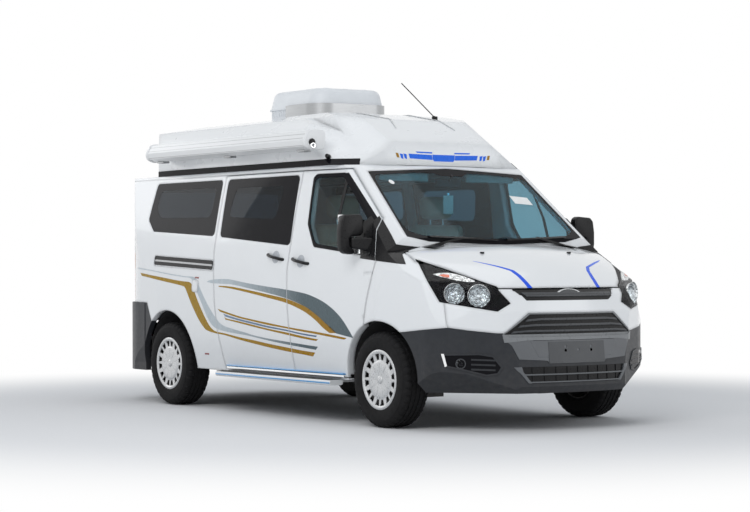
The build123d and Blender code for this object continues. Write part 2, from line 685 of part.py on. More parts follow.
with BuildPart() as rear_bumper:
    add(Pos(-REAR_BUMPER_DEPTH, 0, 0) * outer_form)
    add(block((-1800, -1300, 0), (3000, 1300, 2000)), mode=Mode.SUBTRACT)
    add(outer_form)
    add(cavity_form, mode=Mode.SUBTRACT)
    add(side_prism(tail_bumper_outline, 1, 0, -1300, 1300), mode=Mode.INTERSECT)
    add(block((-2600, -752, 620), (-2150, 752, 2000)), mode=Mode.SUBTRACT)
    add(wheel_arches, mode=Mode.SUBTRACT)
save(rear_bumper.part, "rear_bumper")

lamp_zone = [front_prism([(side * y, z) for y, z in TAIL_LAMP_OUTLINE], -2700, -2050) for side in SIDES.values()]
with BuildPart() as tail_lamps:
    add(outer_form)
    add(envelope(70), mode=Mode.SUBTRACT)
    add(lamp_zone, mode=Mode.INTERSECT)
save(tail_lamps.part, "tail_lamps")

# ---- High roof: a hollow cap with a raised middle at the front
cap_section_half = [(852, ROOF_Z), (852, ROOF_STRIP_TOP_Z), (842, 1960), (ROOF_SHOULDER_HALF, ROOF_SHOULDER_Z),
                    (700, 2180), (380, 2235), (0, ROOF_TOP_Z)]
cap_side = [(SCREEN_TOP_X - 4, ROOF_Z), (930, 1850), (580, 2070), (190, 2180), (-100, ROOF_TOP_Z + 5),
            (-1800, ROOF_TOP_Z + 5), (-2120, 2150), (-2260, 1980), (-2325, ROOF_Z)]
middle_section_half = [(690, ROOF_Z), (680, 1850), (605, 2190), (540, 2230), (0, ROOF_TOP_Z)]
middle_side = [(SCREEN_TOP_X - 10, ROOF_Z), (960, 1900), (938, 1985), (605, 2172), (200, 2238), (-300, ROOF_TOP_Z + 5),
               (-300, ROOF_Z)]


def roof_form(inset):
    """The high roof as one closed form, moved inwards by inset."""
    plan = [(990, 0), (960, 500), (930, 700), (800, 853), (-1500, 853), (-1810, 832), (-2235, 590), (-2325, 380),
            (-2345, 0)]
    plan += [(x, -y) for x, y in plan[-2:0:-1]]
    parts = []
    for section_half, side in ((cap_section_half, cap_side), (middle_section_half, middle_side)):
        half = [(y - inset, z - inset) for y, z in section_half[1:-1]] + [(0, section_half[-1][1] - inset)]
        half = [(section_half[0][0] - inset, ROOF_Z)] + half
        across_outline = half + [(-y, z) for y, z in half[-2::-1]]
        with BuildPart() as piece:
            add(front_prism(across_outline, -FAR, FAR))
            add(side_prism(side, 1, -inset, -1300, 1300), mode=Mode.INTERSECT)
            add(plan_prism(plan, ROOF_Z, 2400, -inset), mode=Mode.INTERSECT)
        parts.append(piece.part)
    with BuildPart() as form:
        for part in parts:
            add(part)
    return trimmed(form.part, ROOF_CUTS, inset)


with BuildPart() as high_roof:
    add(roof_form(0))
    add(roof_form(ROOF_SHELL), mode=Mode.SUBTRACT)
    add(block((-2040, -640, ROOF_Z - 1), (640, 640, ROOF_Z + ROOF_SHELL + 2)), mode=Mode.SUBTRACT)
save(high_roof.part, "high_roof")

with BuildPart() as roof_cooler:
    with BuildSketch(Plane.XY.offset(AC_BASE_Z - 14)):
        with Locations((AC_X, 0)):
            RectangleRounded(AC_LENGTH, AC_WIDTH, 140)
    extrude(amount=AC_BAND_Z - AC_BASE_Z + 14)
    with BuildSketch(Plane.XY.offset(AC_BAND_Z)) as cover_base:
        with Locations((AC_X, 0)):
            RectangleRounded(AC_LENGTH + 20, AC_WIDTH + 20, 150)
    extrude(amount=AC_TOP_Z - AC_BAND_Z, taper=AC_COVER_TAPER)
    fillet(roof_cooler.edges().group_by(Axis.Z)[-1], AC_COVER_ROUND)
    add(roof_form(0), mode=Mode.SUBTRACT)
save(roof_cooler.part, "roof_cooler")

with BuildPart() as awning:
    with BuildSketch(Plane.YZ.offset(AWNING_REAR_X)):
        with BuildLine():
            Polyline((-AWNING_BACK_Y, AWNING_LOW_Z + 10), (-AWNING_BACK_Y - 110, AWNING_LOW_Z),
                     (-AWNING_BACK_Y - AWNING_DEPTH + 12, AWNING_LOW_Z + 22))
            Line((-AWNING_BACK_Y - AWNING_DEPTH + 12, AWNING_LOW_Z + 22), (-AWNING_BACK_Y - AWNING_DEPTH, 1990))
            Polyline((-AWNING_BACK_Y - AWNING_DEPTH, 1990), (-AWNING_BACK_Y - AWNING_DEPTH + 40, AWNING_HIGH_Z - 10),
                     (-AWNING_BACK_Y - 90, AWNING_HIGH_Z), (-AWNING_BACK_Y, AWNING_HIGH_Z - 8),
                     (-AWNING_BACK_Y, AWNING_LOW_Z + 10))
        make_face()
    extrude(amount=AWNING_FRONT_X - AWNING_REAR_X)
    for x in (AWNING_FRONT_X - 260, (AWNING_FRONT_X + AWNING_REAR_X) / 2, AWNING_REAR_X + 260):
        add(block((x - 60, -AWNING_BACK_Y - 2, AWNING_LOW_Z + 30), (x + 60, -800, AWNING_HIGH_Z - 40)))
    add(roof_form(0), mode=Mode.SUBTRACT)
save(awning.part, "awning")

with BuildPart() as antenna:
    with BuildSketch(Plane.XY.offset(ANTENNA_BASE_Z - 40)):
        with Locations((ANTENNA_X, ANTENNA_Y)):
            Circle(22)
    extrude(amount=60)
    with BuildSketch(Plane(origin=(ANTENNA_X, ANTENNA_Y, ANTENNA_BASE_Z + 12), z_dir=(-1.5, 0, 1))):
        Circle(4)
    extrude(amount=ANTENNA_LENGTH)
    add(roof_form(0), mode=Mode.SUBTRACT)
save(antenna.part, "antenna")

# ---- Floor, chassis rails and wheel housings
clear_form = envelope(DOOR_THICKNESS + SEAM, low=0)
with BuildPart() as rear_floor:
    add(envelope(WALL + SEAL_GAP))
    add(block((-2150, -1100, FLOOR_Z), (C_SEAM[1][0] - 30, 1100, FLOOR_Z + FLOOR_THICKNESS)), mode=Mode.INTERSECT)
with BuildPart() as door_track:
    add(envelope(DOOR_THICKNESS + SEAL_GAP))
    add(block((-480, -1100, FLOOR_Z), (330, -700, FLOOR_Z + FLOOR_THICKNESS)), mode=Mode.INTERSECT)
with BuildPart() as liners:
    add(across(FRONT_AXLE_X, FRONT_ARCH_RADIUS + 4 + LINER_WALL, ARCH_INNER_Y - LINER_WALL, 930))
    add(across(REAR_AXLE_X, REAR_ARCH_RADIUS + 4 + LINER_WALL, ARCH_INNER_Y - LINER_WALL, 930))
    add(across(FRONT_AXLE_X, FRONT_ARCH_RADIUS + 4, ARCH_INNER_Y, 1300), mode=Mode.SUBTRACT)
    add(across(REAR_AXLE_X, REAR_ARCH_RADIUS + 4, ARCH_INNER_Y, 1300), mode=Mode.SUBTRACT)
    add(block((-3000, -1300, -200), (3000, 1300, FLAP_TOP_Z)), mode=Mode.SUBTRACT)
    add(clear_form, mode=Mode.INTERSECT)
save(liners.part, "wheel_housings")
with BuildPart() as floor_pan:
    add(clear_form)
    add(block((FLOOR_REAR_X, -1100, FLOOR_Z), (FLOOR_FRONT_X, 1100, FLOOR_Z + FLOOR_THICKNESS)), mode=Mode.INTERSECT)
    add(rear_floor.part)
    add(door_track.part)
    for axle_x, arch in ((FRONT_AXLE_X, FRONT_ARCH_RADIUS), (REAR_AXLE_X, REAR_ARCH_RADIUS)):
        housing = across(axle_x, arch + 4 + LINER_WALL + SEAL_GAP, ARCH_INNER_Y - LINER_WALL - SEAL_GAP, 1300)
        add(housing, mode=Mode.SUBTRACT)
    for side in SIDES.values():
        low_y, high_y = sorted((side * (RAIL_Y - RAIL_WIDTH / 2), side * (RAIL_Y + RAIL_WIDTH / 2)))
        add(block((-2300, low_y, FLOOR_Z - RAIL_HEIGHT), (2300, high_y, FLOOR_Z)))
save(floor_pan.part, "floor_pan")

with BuildPart() as front_bulkhead:
    add(block((FLOOR_FRONT_X - 30, -550, FLOOR_Z + FLOOR_THICKNESS), (FLOOR_FRONT_X, 550, BULKHEAD_TOP_Z)))
save(front_bulkhead.part, "front_bulkhead")

# ---- Suspension and axles
with BuildPart() as rear_axle:
    with BuildSketch(Plane.XZ.offset(-WHEEL_Y - 40)):
        with Locations((REAR_AXLE_X, TYRE_RADIUS)):
            Circle(SPINDLE_RADIUS)
    extrude(amount=2 * (WHEEL_Y + 40))
    with BuildSketch(Plane.XZ.offset(-(WHEEL_Y - 130))):
        with Locations((REAR_AXLE_X, TYRE_RADIUS)):
            Circle(42)
    extrude(amount=2 * (WHEEL_Y - 130))
    for side in SIDES.values():
        low_y, high_y = sorted((side * 470, side * 540))
        add(block((REAR_AXLE_X - 650, low_y, TYRE_RADIUS - 64), (REAR_AXLE_X + 650, high_y, TYRE_RADIUS - 40)))
        add(block((REAR_AXLE_X - 50, low_y, TYRE_RADIUS - 64), (REAR_AXLE_X + 50, high_y, TYRE_RADIUS)))
        for x in (REAR_AXLE_X - 640, REAR_AXLE_X + 620):
            add(block((x, low_y, TYRE_RADIUS - 60), (x + 20, high_y, FLOOR_Z - 20)))
            rail_low, rail_high = sorted((side * (RAIL_Y + RAIL_WIDTH / 2), side * 541))
            add(block((x, rail_low, FLOOR_Z - 90), (x + 20, rail_high, FLOOR_Z - 20)))
save(rear_axle.part, "rear_axle")


def kingpin_y(z):
    """Distance of the steering axis from the van's centre line at height z."""
    share = (z - LOWER_JOINT_Z) / (UPPER_JOINT_Z - LOWER_JOINT_Z)
    return LOWER_JOINT_Y + share * (UPPER_JOINT_Y - LOWER_JOINT_Y)


with BuildPart() as front_subframe:
    add(block((FRONT_AXLE_X - 250, -RAIL_Y - 40, SUBFRAME_LOW_Z), (FRONT_AXLE_X + 200, RAIL_Y + 40, SUBFRAME_LOW_Z + 50)))
    for side in SIDES.values():
        low_y, high_y = sorted((side * (RAIL_Y - 35), side * (RAIL_Y + 35)))
        for x in (FRONT_AXLE_X - 230, FRONT_AXLE_X + 120):
            add(block((x, low_y, SUBFRAME_LOW_Z), (x + 60, high_y, FLOOR_Z - RAIL_HEIGHT)))
        low_y, high_y = sorted((side * (RAIL_Y + 20), side * (LOWER_JOINT_Y + 14)))
        arm_top = LOWER_JOINT_Z - 12
        add(block((FRONT_AXLE_X - 25, low_y, arm_top - ARM_THICKNESS), (FRONT_AXLE_X + 25, high_y, arm_top)))
        low_y, high_y = sorted((side * (RAIL_Y + 20), side * (RAIL_Y + 42)))
        add(block((FRONT_AXLE_X - 25, low_y, arm_top - ARM_THICKNESS), (FRONT_AXLE_X + 25, high_y, SUBFRAME_LOW_Z + 40)))
save(front_subframe.part, "front_subframe")

with BuildPart() as strut_towers:
    for side in SIDES.values():
        with BuildSketch(Plane.XY.offset(UPPER_JOINT_Z)):
            with Locations((FRONT_AXLE_X, side * UPPER_JOINT_Y)):
                Circle(TOWER_RADIUS)
        extrude(amount=TOWER_Z - UPPER_JOINT_Z)
save(strut_towers.part, "strut_towers")

for name, side in SIDES.items():
    axis_plane = Plane(origin=(FRONT_AXLE_X, side * kingpin_y(KNUCKLE_TOP_Z - 10), KNUCKLE_TOP_Z - 10),
                       z_dir=(0, side * (UPPER_JOINT_Y - LOWER_JOINT_Y), UPPER_JOINT_Z - LOWER_JOINT_Z))
    strut_length = hypot(UPPER_JOINT_Y - kingpin_y(KNUCKLE_TOP_Z - 10), UPPER_JOINT_Z - KNUCKLE_TOP_Z + 10)
    with BuildPart() as knuckle:
        low_y, high_y = sorted((side * (kingpin_y(KNUCKLE_TOP_Z) - 24), side * (LOWER_JOINT_Y + 20)))
        add(block((FRONT_AXLE_X - 30, low_y, LOWER_JOINT_Z), (FRONT_AXLE_X + 30, high_y, KNUCKLE_TOP_Z)))
        with Locations((FRONT_AXLE_X, side * LOWER_JOINT_Y, LOWER_JOINT_Z)):
            Sphere(12 - RUNNING_GAP)
        with BuildSketch(axis_plane):
            Circle(STRUT_RADIUS)
        extrude(amount=strut_length - 6)
        with BuildSketch(Plane.XZ.offset(-side * LOWER_JOINT_Y)):
            with Locations((FRONT_AXLE_X, TYRE_RADIUS)):
                Circle(SPINDLE_RADIUS)
        extrude(amount=-side * (WHEEL_Y + 40 - LOWER_JOINT_Y))
    save(knuckle.part, "knuckle_" + name)

# ---- Wheels
for end, axle_x in WHEELS:
    for name, side in SIDES.items():
        spin = Axis((axle_x, side * WHEEL_Y, TYRE_RADIUS), (0, 1, 0))
        plane = Plane(origin=(axle_x, side * WHEEL_Y, TYRE_RADIUS), x_dir=(1, 0, 0), z_dir=(0, 0, 1))
        half = TYRE_WIDTH / 2
        with BuildPart() as tyre:
            with BuildSketch(plane):
                with BuildLine():
                    Line((RIM_RADIUS, -half + 18), (RIM_RADIUS, half - 18))
                    ThreePointArc((RIM_RADIUS, half - 18), (RIM_RADIUS + 62, half), (TYRE_RADIUS - 26, half - 8))
                    ThreePointArc((TYRE_RADIUS - 26, half - 8), (TYRE_RADIUS - 7, half - 16), (TYRE_RADIUS, half - 34))
                    Line((TYRE_RADIUS, half - 34), (TYRE_RADIUS, -half + 34))
                    ThreePointArc((TYRE_RADIUS, -half + 34), (TYRE_RADIUS - 7, -half + 16), (TYRE_RADIUS - 26, -half + 8))
                    ThreePointArc((TYRE_RADIUS - 26, -half + 8), (RIM_RADIUS + 62, -half), (RIM_RADIUS, -half + 18))
                make_face()
            revolve(axis=spin)
        save(tyre.part, "tyre_" + end + "_" + name)
        with BuildPart() as rim:
            with BuildSketch(plane):
                with BuildLine():
                    Polyline((SPINDLE_RADIUS + RUNNING_GAP, side * 0), (SPINDLE_RADIUS + RUNNING_GAP, side * 60),
                             (0.01, side * 60), (0.01, side * 84), (60, side * 84), (100, side * 78),
                             (RIM_RADIUS, side * 92), (RIM_RADIUS, side * -92), (RIM_RADIUS - RIM_WALL, side * -92),
                             (RIM_RADIUS - RIM_WALL, side * 30), (HUB_RADIUS, side * 40), (HUB_RADIUS, side * 0),
                             close=True)
                make_face()
            revolve(axis=spin)
        save(rim.part, "wheel_" + end + "_" + name)

# ---- Engine block, fuel tank and exhaust
with BuildPart() as engine:
    add(block((1600, -330, 340), (2200, 330, 900)))
    add(block((1720, -380, FLOOR_Z - RAIL_HEIGHT + 20), (1800, 380, FLOOR_Z - 30)))
    for side in SIDES.values():
        low_y, high_y = sorted((side * 330, side * (RAIL_Y - RAIL_WIDTH / 2)))
        add(block((1720, low_y, 420), (1800, high_y, 480)))
save(engine.part, "engine")

with BuildPart() as fuel_tank:
    add(block((-500, -370, 300), (500, 60, FLOOR_Z)))
    fillet(fuel_tank.edges().filter_by(Axis.X), 40)
save(fuel_tank.part, "fuel_tank")

with BuildPart() as exhaust:
    with BuildSketch(Plane.YZ.offset(-2250)):
        with Locations((280, 430)):
            Circle(28)
    extrude(amount=3600)
    with BuildSketch(Plane.YZ.offset(-900)):
        with Locations((255, 420)):
            Ellipse(95, 70)
    extrude(amount=700)
    for x in (-800, -300):
        add(block((x, 230, 470), (x + 30, 280, FLOOR_Z)))
save(exhaust.part, "exhaust")

# ---- Door mirrors: a tall head on two short arms
for name, side in SIDES.items():
    with BuildPart() as mirror_head:
        with BuildSketch(Plane.YZ.offset(1262)):
            with Locations((side * (MIRROR_OUTER_Y - 82), (MIRROR_TOP_Z + MIRROR_LOW_Z) / 2)):
                RectangleRounded(164, MIRROR_TOP_Z - MIRROR_LOW_Z, 38)
        extrude(amount=62)
        with BuildSketch(Plane.XZ.offset(-side * 900)):
            with Locations((1310, 1250)):
                SlotOverall(110, 74)
            with Locations((1372, 1195)):
                Rectangle(90, 120)
        extrude(amount=-side * 100)
        with BuildSketch(Plane.XZ.offset(-side * 960)):
            with Locations((1310, 1262)):
                SlotOverall(84, 44)
        extrude(amount=-side * 60)
        add(outer_form, mode=Mode.SUBTRACT)
    save(mirror_head.part, "mirror_" + name)

# ---- Side step, mud flaps and wipers
with BuildPart() as side_step:
    with BuildSketch(Plane.YZ.offset(STEP_REAR_X)):
        with Locations((-1001, 287)):
            RectangleRounded(108, 38, 16)
    extrude(amount=STEP_FRONT_X - 210 - STEP_REAR_X)
    for x in (STEP_REAR_X + 200, 300, STEP_FRONT_X - 400):
        add(block((x, -960, 278), (x + 50, -RAIL_Y - RAIL_WIDTH / 2, 296)))
        add(block((x, -RAIL_Y - RAIL_WIDTH / 2 - 20, 278), (x + 50, -RAIL_Y - RAIL_WIDTH / 2, 420)))
save(side_step.part, "side_step")

with BuildPart() as mud_flaps:
    for side in SIDES.values():
        for axle_x, arch, low in ((FRONT_AXLE_X, FRONT_ARCH_RADIUS, 150), (REAR_AXLE_X, REAR_ARCH_RADIUS, 190)):
            x = axle_x - sqrt((arch + 4 + LINER_WALL) ** 2 - (FLAP_TOP_Z - TYRE_RADIUS) ** 2) + 2
            low_y, high_y = sorted((side * 730, side * 875))
            add(block((x, low_y, low), (x + 6, high_y, FLAP_TOP_Z)))
save(mud_flaps.part, "mud_flaps")

wiper_outlines = [[(side * y, z) for y, z in outline] for side in SIDES.values() for outline in (BLADE, ARM)]
with BuildPart() as wipers:
    add(envelope(-WIPER_DEPTH))
    add(envelope(-SEAL_GAP), mode=Mode.SUBTRACT)
    add([front_prism(outline, 1300, 1800) for outline in wiper_outlines], mode=Mode.INTERSECT)
save(wipers.part, "wipers")

# ---- Cab and living space
column_plane = Plane(origin=COLUMN_ORIGIN, z_dir=COLUMN_DIRECTION)
with BuildPart() as dashboard:
    with BuildSketch(Plane.XZ.offset(-800)):
        with BuildLine():
            Polyline((DASH_FRONT_X + 60, 1168), (DASH_REAR_X + 40, 1180), (DASH_REAR_X - 20, 1120), (DASH_REAR_X, 960),
                     (DASH_REAR_X + 140, 780), (DASH_FRONT_X, 780), (DASH_FRONT_X, BULKHEAD_TOP_Z + 1),
                     (DASH_FRONT_X + 60, BULKHEAD_TOP_Z + 1), close=True)
        make_face()
    extrude(amount=1600)
    add(block((DASH_REAR_X + 20, -150, FLOOR_Z + FLOOR_THICKNESS), (DASH_REAR_X + 200, 150, 900)))
    with BuildSketch(column_plane):
        Circle(COLUMN_RADIUS + 24)
    extrude(amount=SHROUD_END)
save(dashboard.part, "dashboard")

with BuildPart() as steering_wheel:
    with BuildSketch(column_plane.offset(SHROUD_END + RUNNING_GAP)):
        Circle(COLUMN_RADIUS)
    extrude(amount=RIM_OFFSET - SHROUD_END)
    with BuildSketch(column_plane.offset(RIM_OFFSET - 10)):
        Circle(62)
        with PolarLocations(STEERING_RADIUS / 2, 3, 90):
            Rectangle(STEERING_RADIUS, 34)
    extrude(amount=18)
    rim_plane = column_plane.offset(RIM_OFFSET)
    with BuildSketch(Plane(origin=rim_plane.origin, x_dir=rim_plane.x_dir, z_dir=rim_plane.y_dir)):
        with Locations((STEERING_RADIUS, 0)):
            Circle(STEERING_TUBE)
    revolve(axis=Axis(rim_plane.origin, COLUMN_DIRECTION))
save(steering_wheel.part, "steering_wheel")

with BuildPart() as cab_seats:
    for centre_y, width in ((440, 500), (-410, 560)):
        add(block((SEAT_X - 200, centre_y - 180, FLOOR_Z + FLOOR_THICKNESS), (SEAT_X + 220, centre_y + 180, 700)))
        with BuildSketch(Plane.XZ.offset(-centre_y - width / 2)):
            with BuildLine():
                Polyline((SEAT_X - 230, 700), (SEAT_X + 290, 700), (SEAT_X + 310, 820), (SEAT_X - 130, 830),
                         (SEAT_X - 230, 1420), (SEAT_X - 330, 1400), close=True)
            make_face()
        extrude(amount=width)
        add(block((SEAT_X - 330, centre_y - 140, 1440), (SEAT_X - 235, centre_y + 140, 1610)))
        add(block((SEAT_X - 300, centre_y - 60, 1390), (SEAT_X - 270, centre_y + 60, 1450)))
save(cab_seats.part, "cab_seats")

with BuildPart() as kitchen_unit:
    add(block((-1950, 280, FLOOR_Z + FLOOR_THICKNESS), (-700, 860, 1180)))
    add(across(REAR_AXLE_X, REAR_ARCH_RADIUS + 20, 500, 1300), mode=Mode.SUBTRACT)
save(kitchen_unit.part, "kitchen_unit")

with BuildPart() as rear_bench:
    add(block((-1200, -860, FLOOR_Z + FLOOR_THICKNESS), (-560, 200, 900)))
    add(block((-1290, -860, 900), (-1130, 200, 1420)))
    add(across(REAR_AXLE_X, REAR_ARCH_RADIUS + 20, 500, 1300), mode=Mode.SUBTRACT)
save(rear_bench.part, "rear_bench")
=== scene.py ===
import bpy
from math import atan2, cos, exp, hypot, pi, radians, sin, tau
from mathutils import Matrix, Vector


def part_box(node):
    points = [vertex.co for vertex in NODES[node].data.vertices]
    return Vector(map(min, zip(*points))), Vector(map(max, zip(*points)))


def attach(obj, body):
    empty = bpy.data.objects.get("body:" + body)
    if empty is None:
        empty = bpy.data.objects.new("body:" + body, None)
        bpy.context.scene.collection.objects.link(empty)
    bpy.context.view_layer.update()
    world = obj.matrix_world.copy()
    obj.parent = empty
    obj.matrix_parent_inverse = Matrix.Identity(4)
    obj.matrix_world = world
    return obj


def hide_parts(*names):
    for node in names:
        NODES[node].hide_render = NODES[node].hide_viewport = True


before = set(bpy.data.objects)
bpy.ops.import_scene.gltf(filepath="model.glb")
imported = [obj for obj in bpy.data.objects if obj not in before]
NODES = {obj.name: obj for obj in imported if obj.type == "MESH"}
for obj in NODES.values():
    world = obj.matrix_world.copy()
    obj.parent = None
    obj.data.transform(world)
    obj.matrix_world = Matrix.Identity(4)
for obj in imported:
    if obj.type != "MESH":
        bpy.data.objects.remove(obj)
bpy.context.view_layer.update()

bpy.ops.object.select_all(action="DESELECT")

# ---- Places shared with the body, in metres
FRONT_AXLE_X = 1.530
REAR_AXLE_X = -1.403
WHEEL_Y = 0.865
AXLE_Z = 0.326
SIDES = {"right": -1, "left": 1}


# ---- Workshop helpers
def spanned(side, inner, outer):
    """The lower and the upper y of a piece that lies on one side of the van."""
    return sorted((side * inner, side * outer))


def only(piece):
    """Selects this piece alone and makes it the active one."""
    if bpy.context.object and bpy.context.object.mode != "OBJECT":
        bpy.ops.object.mode_set(mode="OBJECT")
    bpy.ops.object.select_all(action="DESELECT")
    piece.select_set(True)
    bpy.context.view_layer.objects.active = piece
    return piece


def fresh(name):
    """Names the primitive that was just added."""
    piece = bpy.context.object
    piece.name = name
    piece.data.name = name
    return piece


def pick_by(face):
    """Lets edit mode select by face or by corner."""
    bpy.context.tool_settings.mesh_select_mode = (not face, False, face)


def settle(piece):
    """Puts the piece's place into its mesh."""
    only(piece)
    bpy.ops.object.transform_apply(location=True, rotation=True, scale=True)
    return piece


def bake_modifiers(piece):
    only(piece)
    for modifier in list(piece.modifiers):
        bpy.ops.object.modifier_apply(modifier=modifier.name)
    return piece


def outward(piece, merge=1e-5):
    """Merges doubles and turns every face outwards."""
    only(piece)
    bpy.ops.object.mode_set(mode="EDIT")
    bpy.ops.mesh.select_all(action="SELECT")
    bpy.ops.mesh.remove_doubles(threshold=merge)
    bpy.ops.mesh.normals_make_consistent(inside=False)
    bpy.ops.object.mode_set(mode="OBJECT")
    return piece


def smooth(piece, angle=35):
    only(piece)
    bpy.ops.object.shade_smooth_by_angle(angle=radians(angle))
    return piece


def rounded(piece, radius, segments=3):
    """Rounds every edge sharper than 30 degrees."""
    bevel = piece.modifiers.new("round", "BEVEL")
    bevel.width = radius
    bevel.segments = segments
    bevel.limit_method = "ANGLE"
    bevel.angle_limit = radians(30)
    bevel.harden_normals = False
    return bake_modifiers(piece)


def dress(piece, finish, body):
    """Gives a piece its finish and the body that it rides on."""
    piece.data.materials.clear()
    piece.data.materials.append(finish)
    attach(piece, body)
    return piece


def brick(name, low, high, radius=0.0, segments=3):
    """A block between two corners, with rounded edges."""
    centre = [(a + b) / 2 for a, b in zip(low, high)]
    bpy.ops.mesh.primitive_cube_add(size=1, location=centre, scale=[b - a for a, b in zip(low, high)])
    piece = settle(fresh(name))
    if radius:
        rounded(piece, radius, segments)
    return smooth(piece)


def rod(name, start, end, radius, vertices=24, end_radius=None):
    """A round bar between two points, tapered where it has an end radius."""
    start, end = Vector(start), Vector(end)
    run = end - start
    bpy.ops.mesh.primitive_cone_add(vertices=vertices, radius1=radius, depth=run.length,
                                    radius2=radius if end_radius is None else end_radius)
    piece = fresh(name)
    piece.rotation_euler = run.to_track_quat("Z", "Y").to_euler()
    piece.location = (start + end) / 2
    settle(piece)
    rounded(piece, radius * 0.12, 2)
    return smooth(piece)


def panel_of(name, points, run):
    """A closed outline of points carried along a run, as a closed solid."""
    bpy.ops.mesh.primitive_circle_add(vertices=len(points), fill_type="NGON")
    piece = fresh(name)
    for vertex, point in zip(piece.data.vertices, points):
        vertex.co = point
    only(piece)
    bpy.ops.object.mode_set(mode="EDIT")
    bpy.ops.mesh.select_all(action="SELECT")
    bpy.ops.mesh.extrude_region_move(TRANSFORM_OT_translate={"value": run})
    bpy.ops.mesh.select_all(action="SELECT")
    bpy.ops.mesh.normals_make_consistent(inside=False)
    bpy.ops.object.mode_set(mode="OBJECT")
    return piece


def turned(name, profile, centre, axis=(0, 1, 0), steps=64):
    """A closed profile of (radius, offset along the axis), spun round the axis."""
    axis = Vector(axis).normalized()
    across = axis.orthogonal().normalized()
    bpy.ops.mesh.primitive_circle_add(vertices=len(profile))
    piece = fresh(name)
    for vertex, (radius, offset) in zip(piece.data.vertices, profile):
        vertex.co = Vector(centre) + across * radius + axis * offset
    only(piece)
    pick_by(face=False)
    bpy.ops.object.mode_set(mode="EDIT")
    bpy.ops.mesh.select_all(action="SELECT")
    bpy.ops.mesh.spin(steps=steps, angle=tau, center=centre, axis=axis)
    bpy.ops.object.mode_set(mode="OBJECT")
    return outward(piece)


def joined(name, pieces):
    """Several pieces as one."""
    only(pieces[0])
    for piece in pieces[1:]:
        piece.select_set(True)
    bpy.ops.object.join()
    return fresh(name)


def twin(piece, name):
    """A second piece with a mesh of its own."""
    other = piece.copy()
    other.data = piece.data.copy()
    other.name = name
    other.data.name = name
    bpy.context.collection.objects.link(other)
    return other


def tube(name, points, radius, closed=False, resolution=3):
    """A bent round bar along a smooth path."""
    curve = bpy.data.curves.new(name, "CURVE")
    curve.dimensions = "3D"
    curve.bevel_depth = radius
    curve.bevel_resolution = resolution
    curve.use_fill_caps = True
    spline = curve.splines.new("NURBS")
    spline.points.add(len(points) - 1)
    for point, place in zip(spline.points, points):
        point.co = (*place, 1)
    spline.order_u = 3
    spline.use_endpoint_u = not closed
    spline.use_cyclic_u = closed
    piece = bpy.data.objects.new(name, curve)
    bpy.context.collection.objects.link(piece)
    only(piece)
    bpy.ops.object.convert(target="MESH")
    return smooth(outward(fresh(name)))


def solid_copy(node, name):
    """A merged copy of a body panel, to cut a skin from."""
    piece = twin(NODES[node], name)
    for key in list(piece.keys()):
        if key.startswith("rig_"):
            del piece[key]
    piece.parent = None
    piece.matrix_world = Matrix.Identity(4)
    piece.data.materials.clear()
    piece.hide_render = piece.hide_viewport = piece.hide_select = False
    piece.hide_set(False)
    only(piece)
    if piece.data.has_custom_normals:
        bpy.ops.mesh.customdata_custom_splitnormals_clear()
    bpy.ops.object.mode_set(mode="EDIT")
    bpy.ops.mesh.select_all(action="SELECT")
    bpy.ops.mesh.remove_doubles(threshold=2e-5)
    bpy.ops.object.mode_set(mode="OBJECT")
    return piece


def cut_with(piece, cutter, operation):
    """Cuts a piece with a closed solid, which is used up."""
    boolean = piece.modifiers.new("cut", "BOOLEAN")
    boolean.operation = operation
    boolean.solver = "EXACT"
    boolean.object = cutter
    bake_modifiers(piece)
    bpy.data.objects.remove(cutter)
    return piece


def keep_faces(piece, wanted):
    """Deletes every face that isn't wanted."""
    only(piece)
    pick_by(face=True)
    for face in piece.data.polygons:
        face.select = not wanted(face)
    bpy.ops.object.mode_set(mode="EDIT")
    bpy.ops.mesh.delete(type="FACE")
    bpy.ops.object.mode_set(mode="OBJECT")
    return piece


def carried(name, outlines, plane, low, high):
    """Outlines carried across the van (plane y), along it (x) or upwards (z), as one cutter."""
    solids = []
    for number, outline in enumerate(outlines):
        if plane == "y":
            points = [(u, low, v) for u, v in outline]
            run = (0, high - low, 0)
        elif plane == "x":
            points = [(low, u, v) for u, v in outline]
            run = (high - low, 0, 0)
        else:
            points = [(u, v, low) for u, v in outline]
            run = (0, 0, high - low)
        solids.append(panel_of(f"{name}_{number}", points, run))
    return joined(name, solids) if len(solids) > 1 else solids[0]


def skin_patch(name, node, outlines, facing, thickness, holes=(), least=0.22):
    """A thin layer on the outside of a panel, inside the outlines and outside the holes."""
    direction = Vector(facing)
    plane = "y" if abs(direction.y) > 0.5 else "x" if abs(direction.x) > 0.5 else "z"
    sign = direction.y if plane == "y" else direction.x if plane == "x" else direction.z
    near, far = {"y": (0.55, 1.3), "x": (0.0, 3.0), "z": (0.3, 3.0)}[plane]
    low, high = sorted((sign * near, sign * far))
    patch = solid_copy(node, name)
    cut_with(patch, carried(name + "_cutter", outlines, plane, low, high), "INTERSECT")
    if holes:
        cut_with(patch, carried(name + "_hole", holes, plane, low - 0.1, high + 0.1), "DIFFERENCE")
    keep_faces(patch, lambda face: face.normal.dot(direction) > least)
    only(patch)
    if not patch.data.polygons:
        bpy.data.objects.remove(patch)
        return None
    outer = patch.modifiers.new("film", "SOLIDIFY")
    outer.thickness = thickness
    outer.offset = 1.0
    bake_modifiers(patch)
    return smooth(patch, 30)


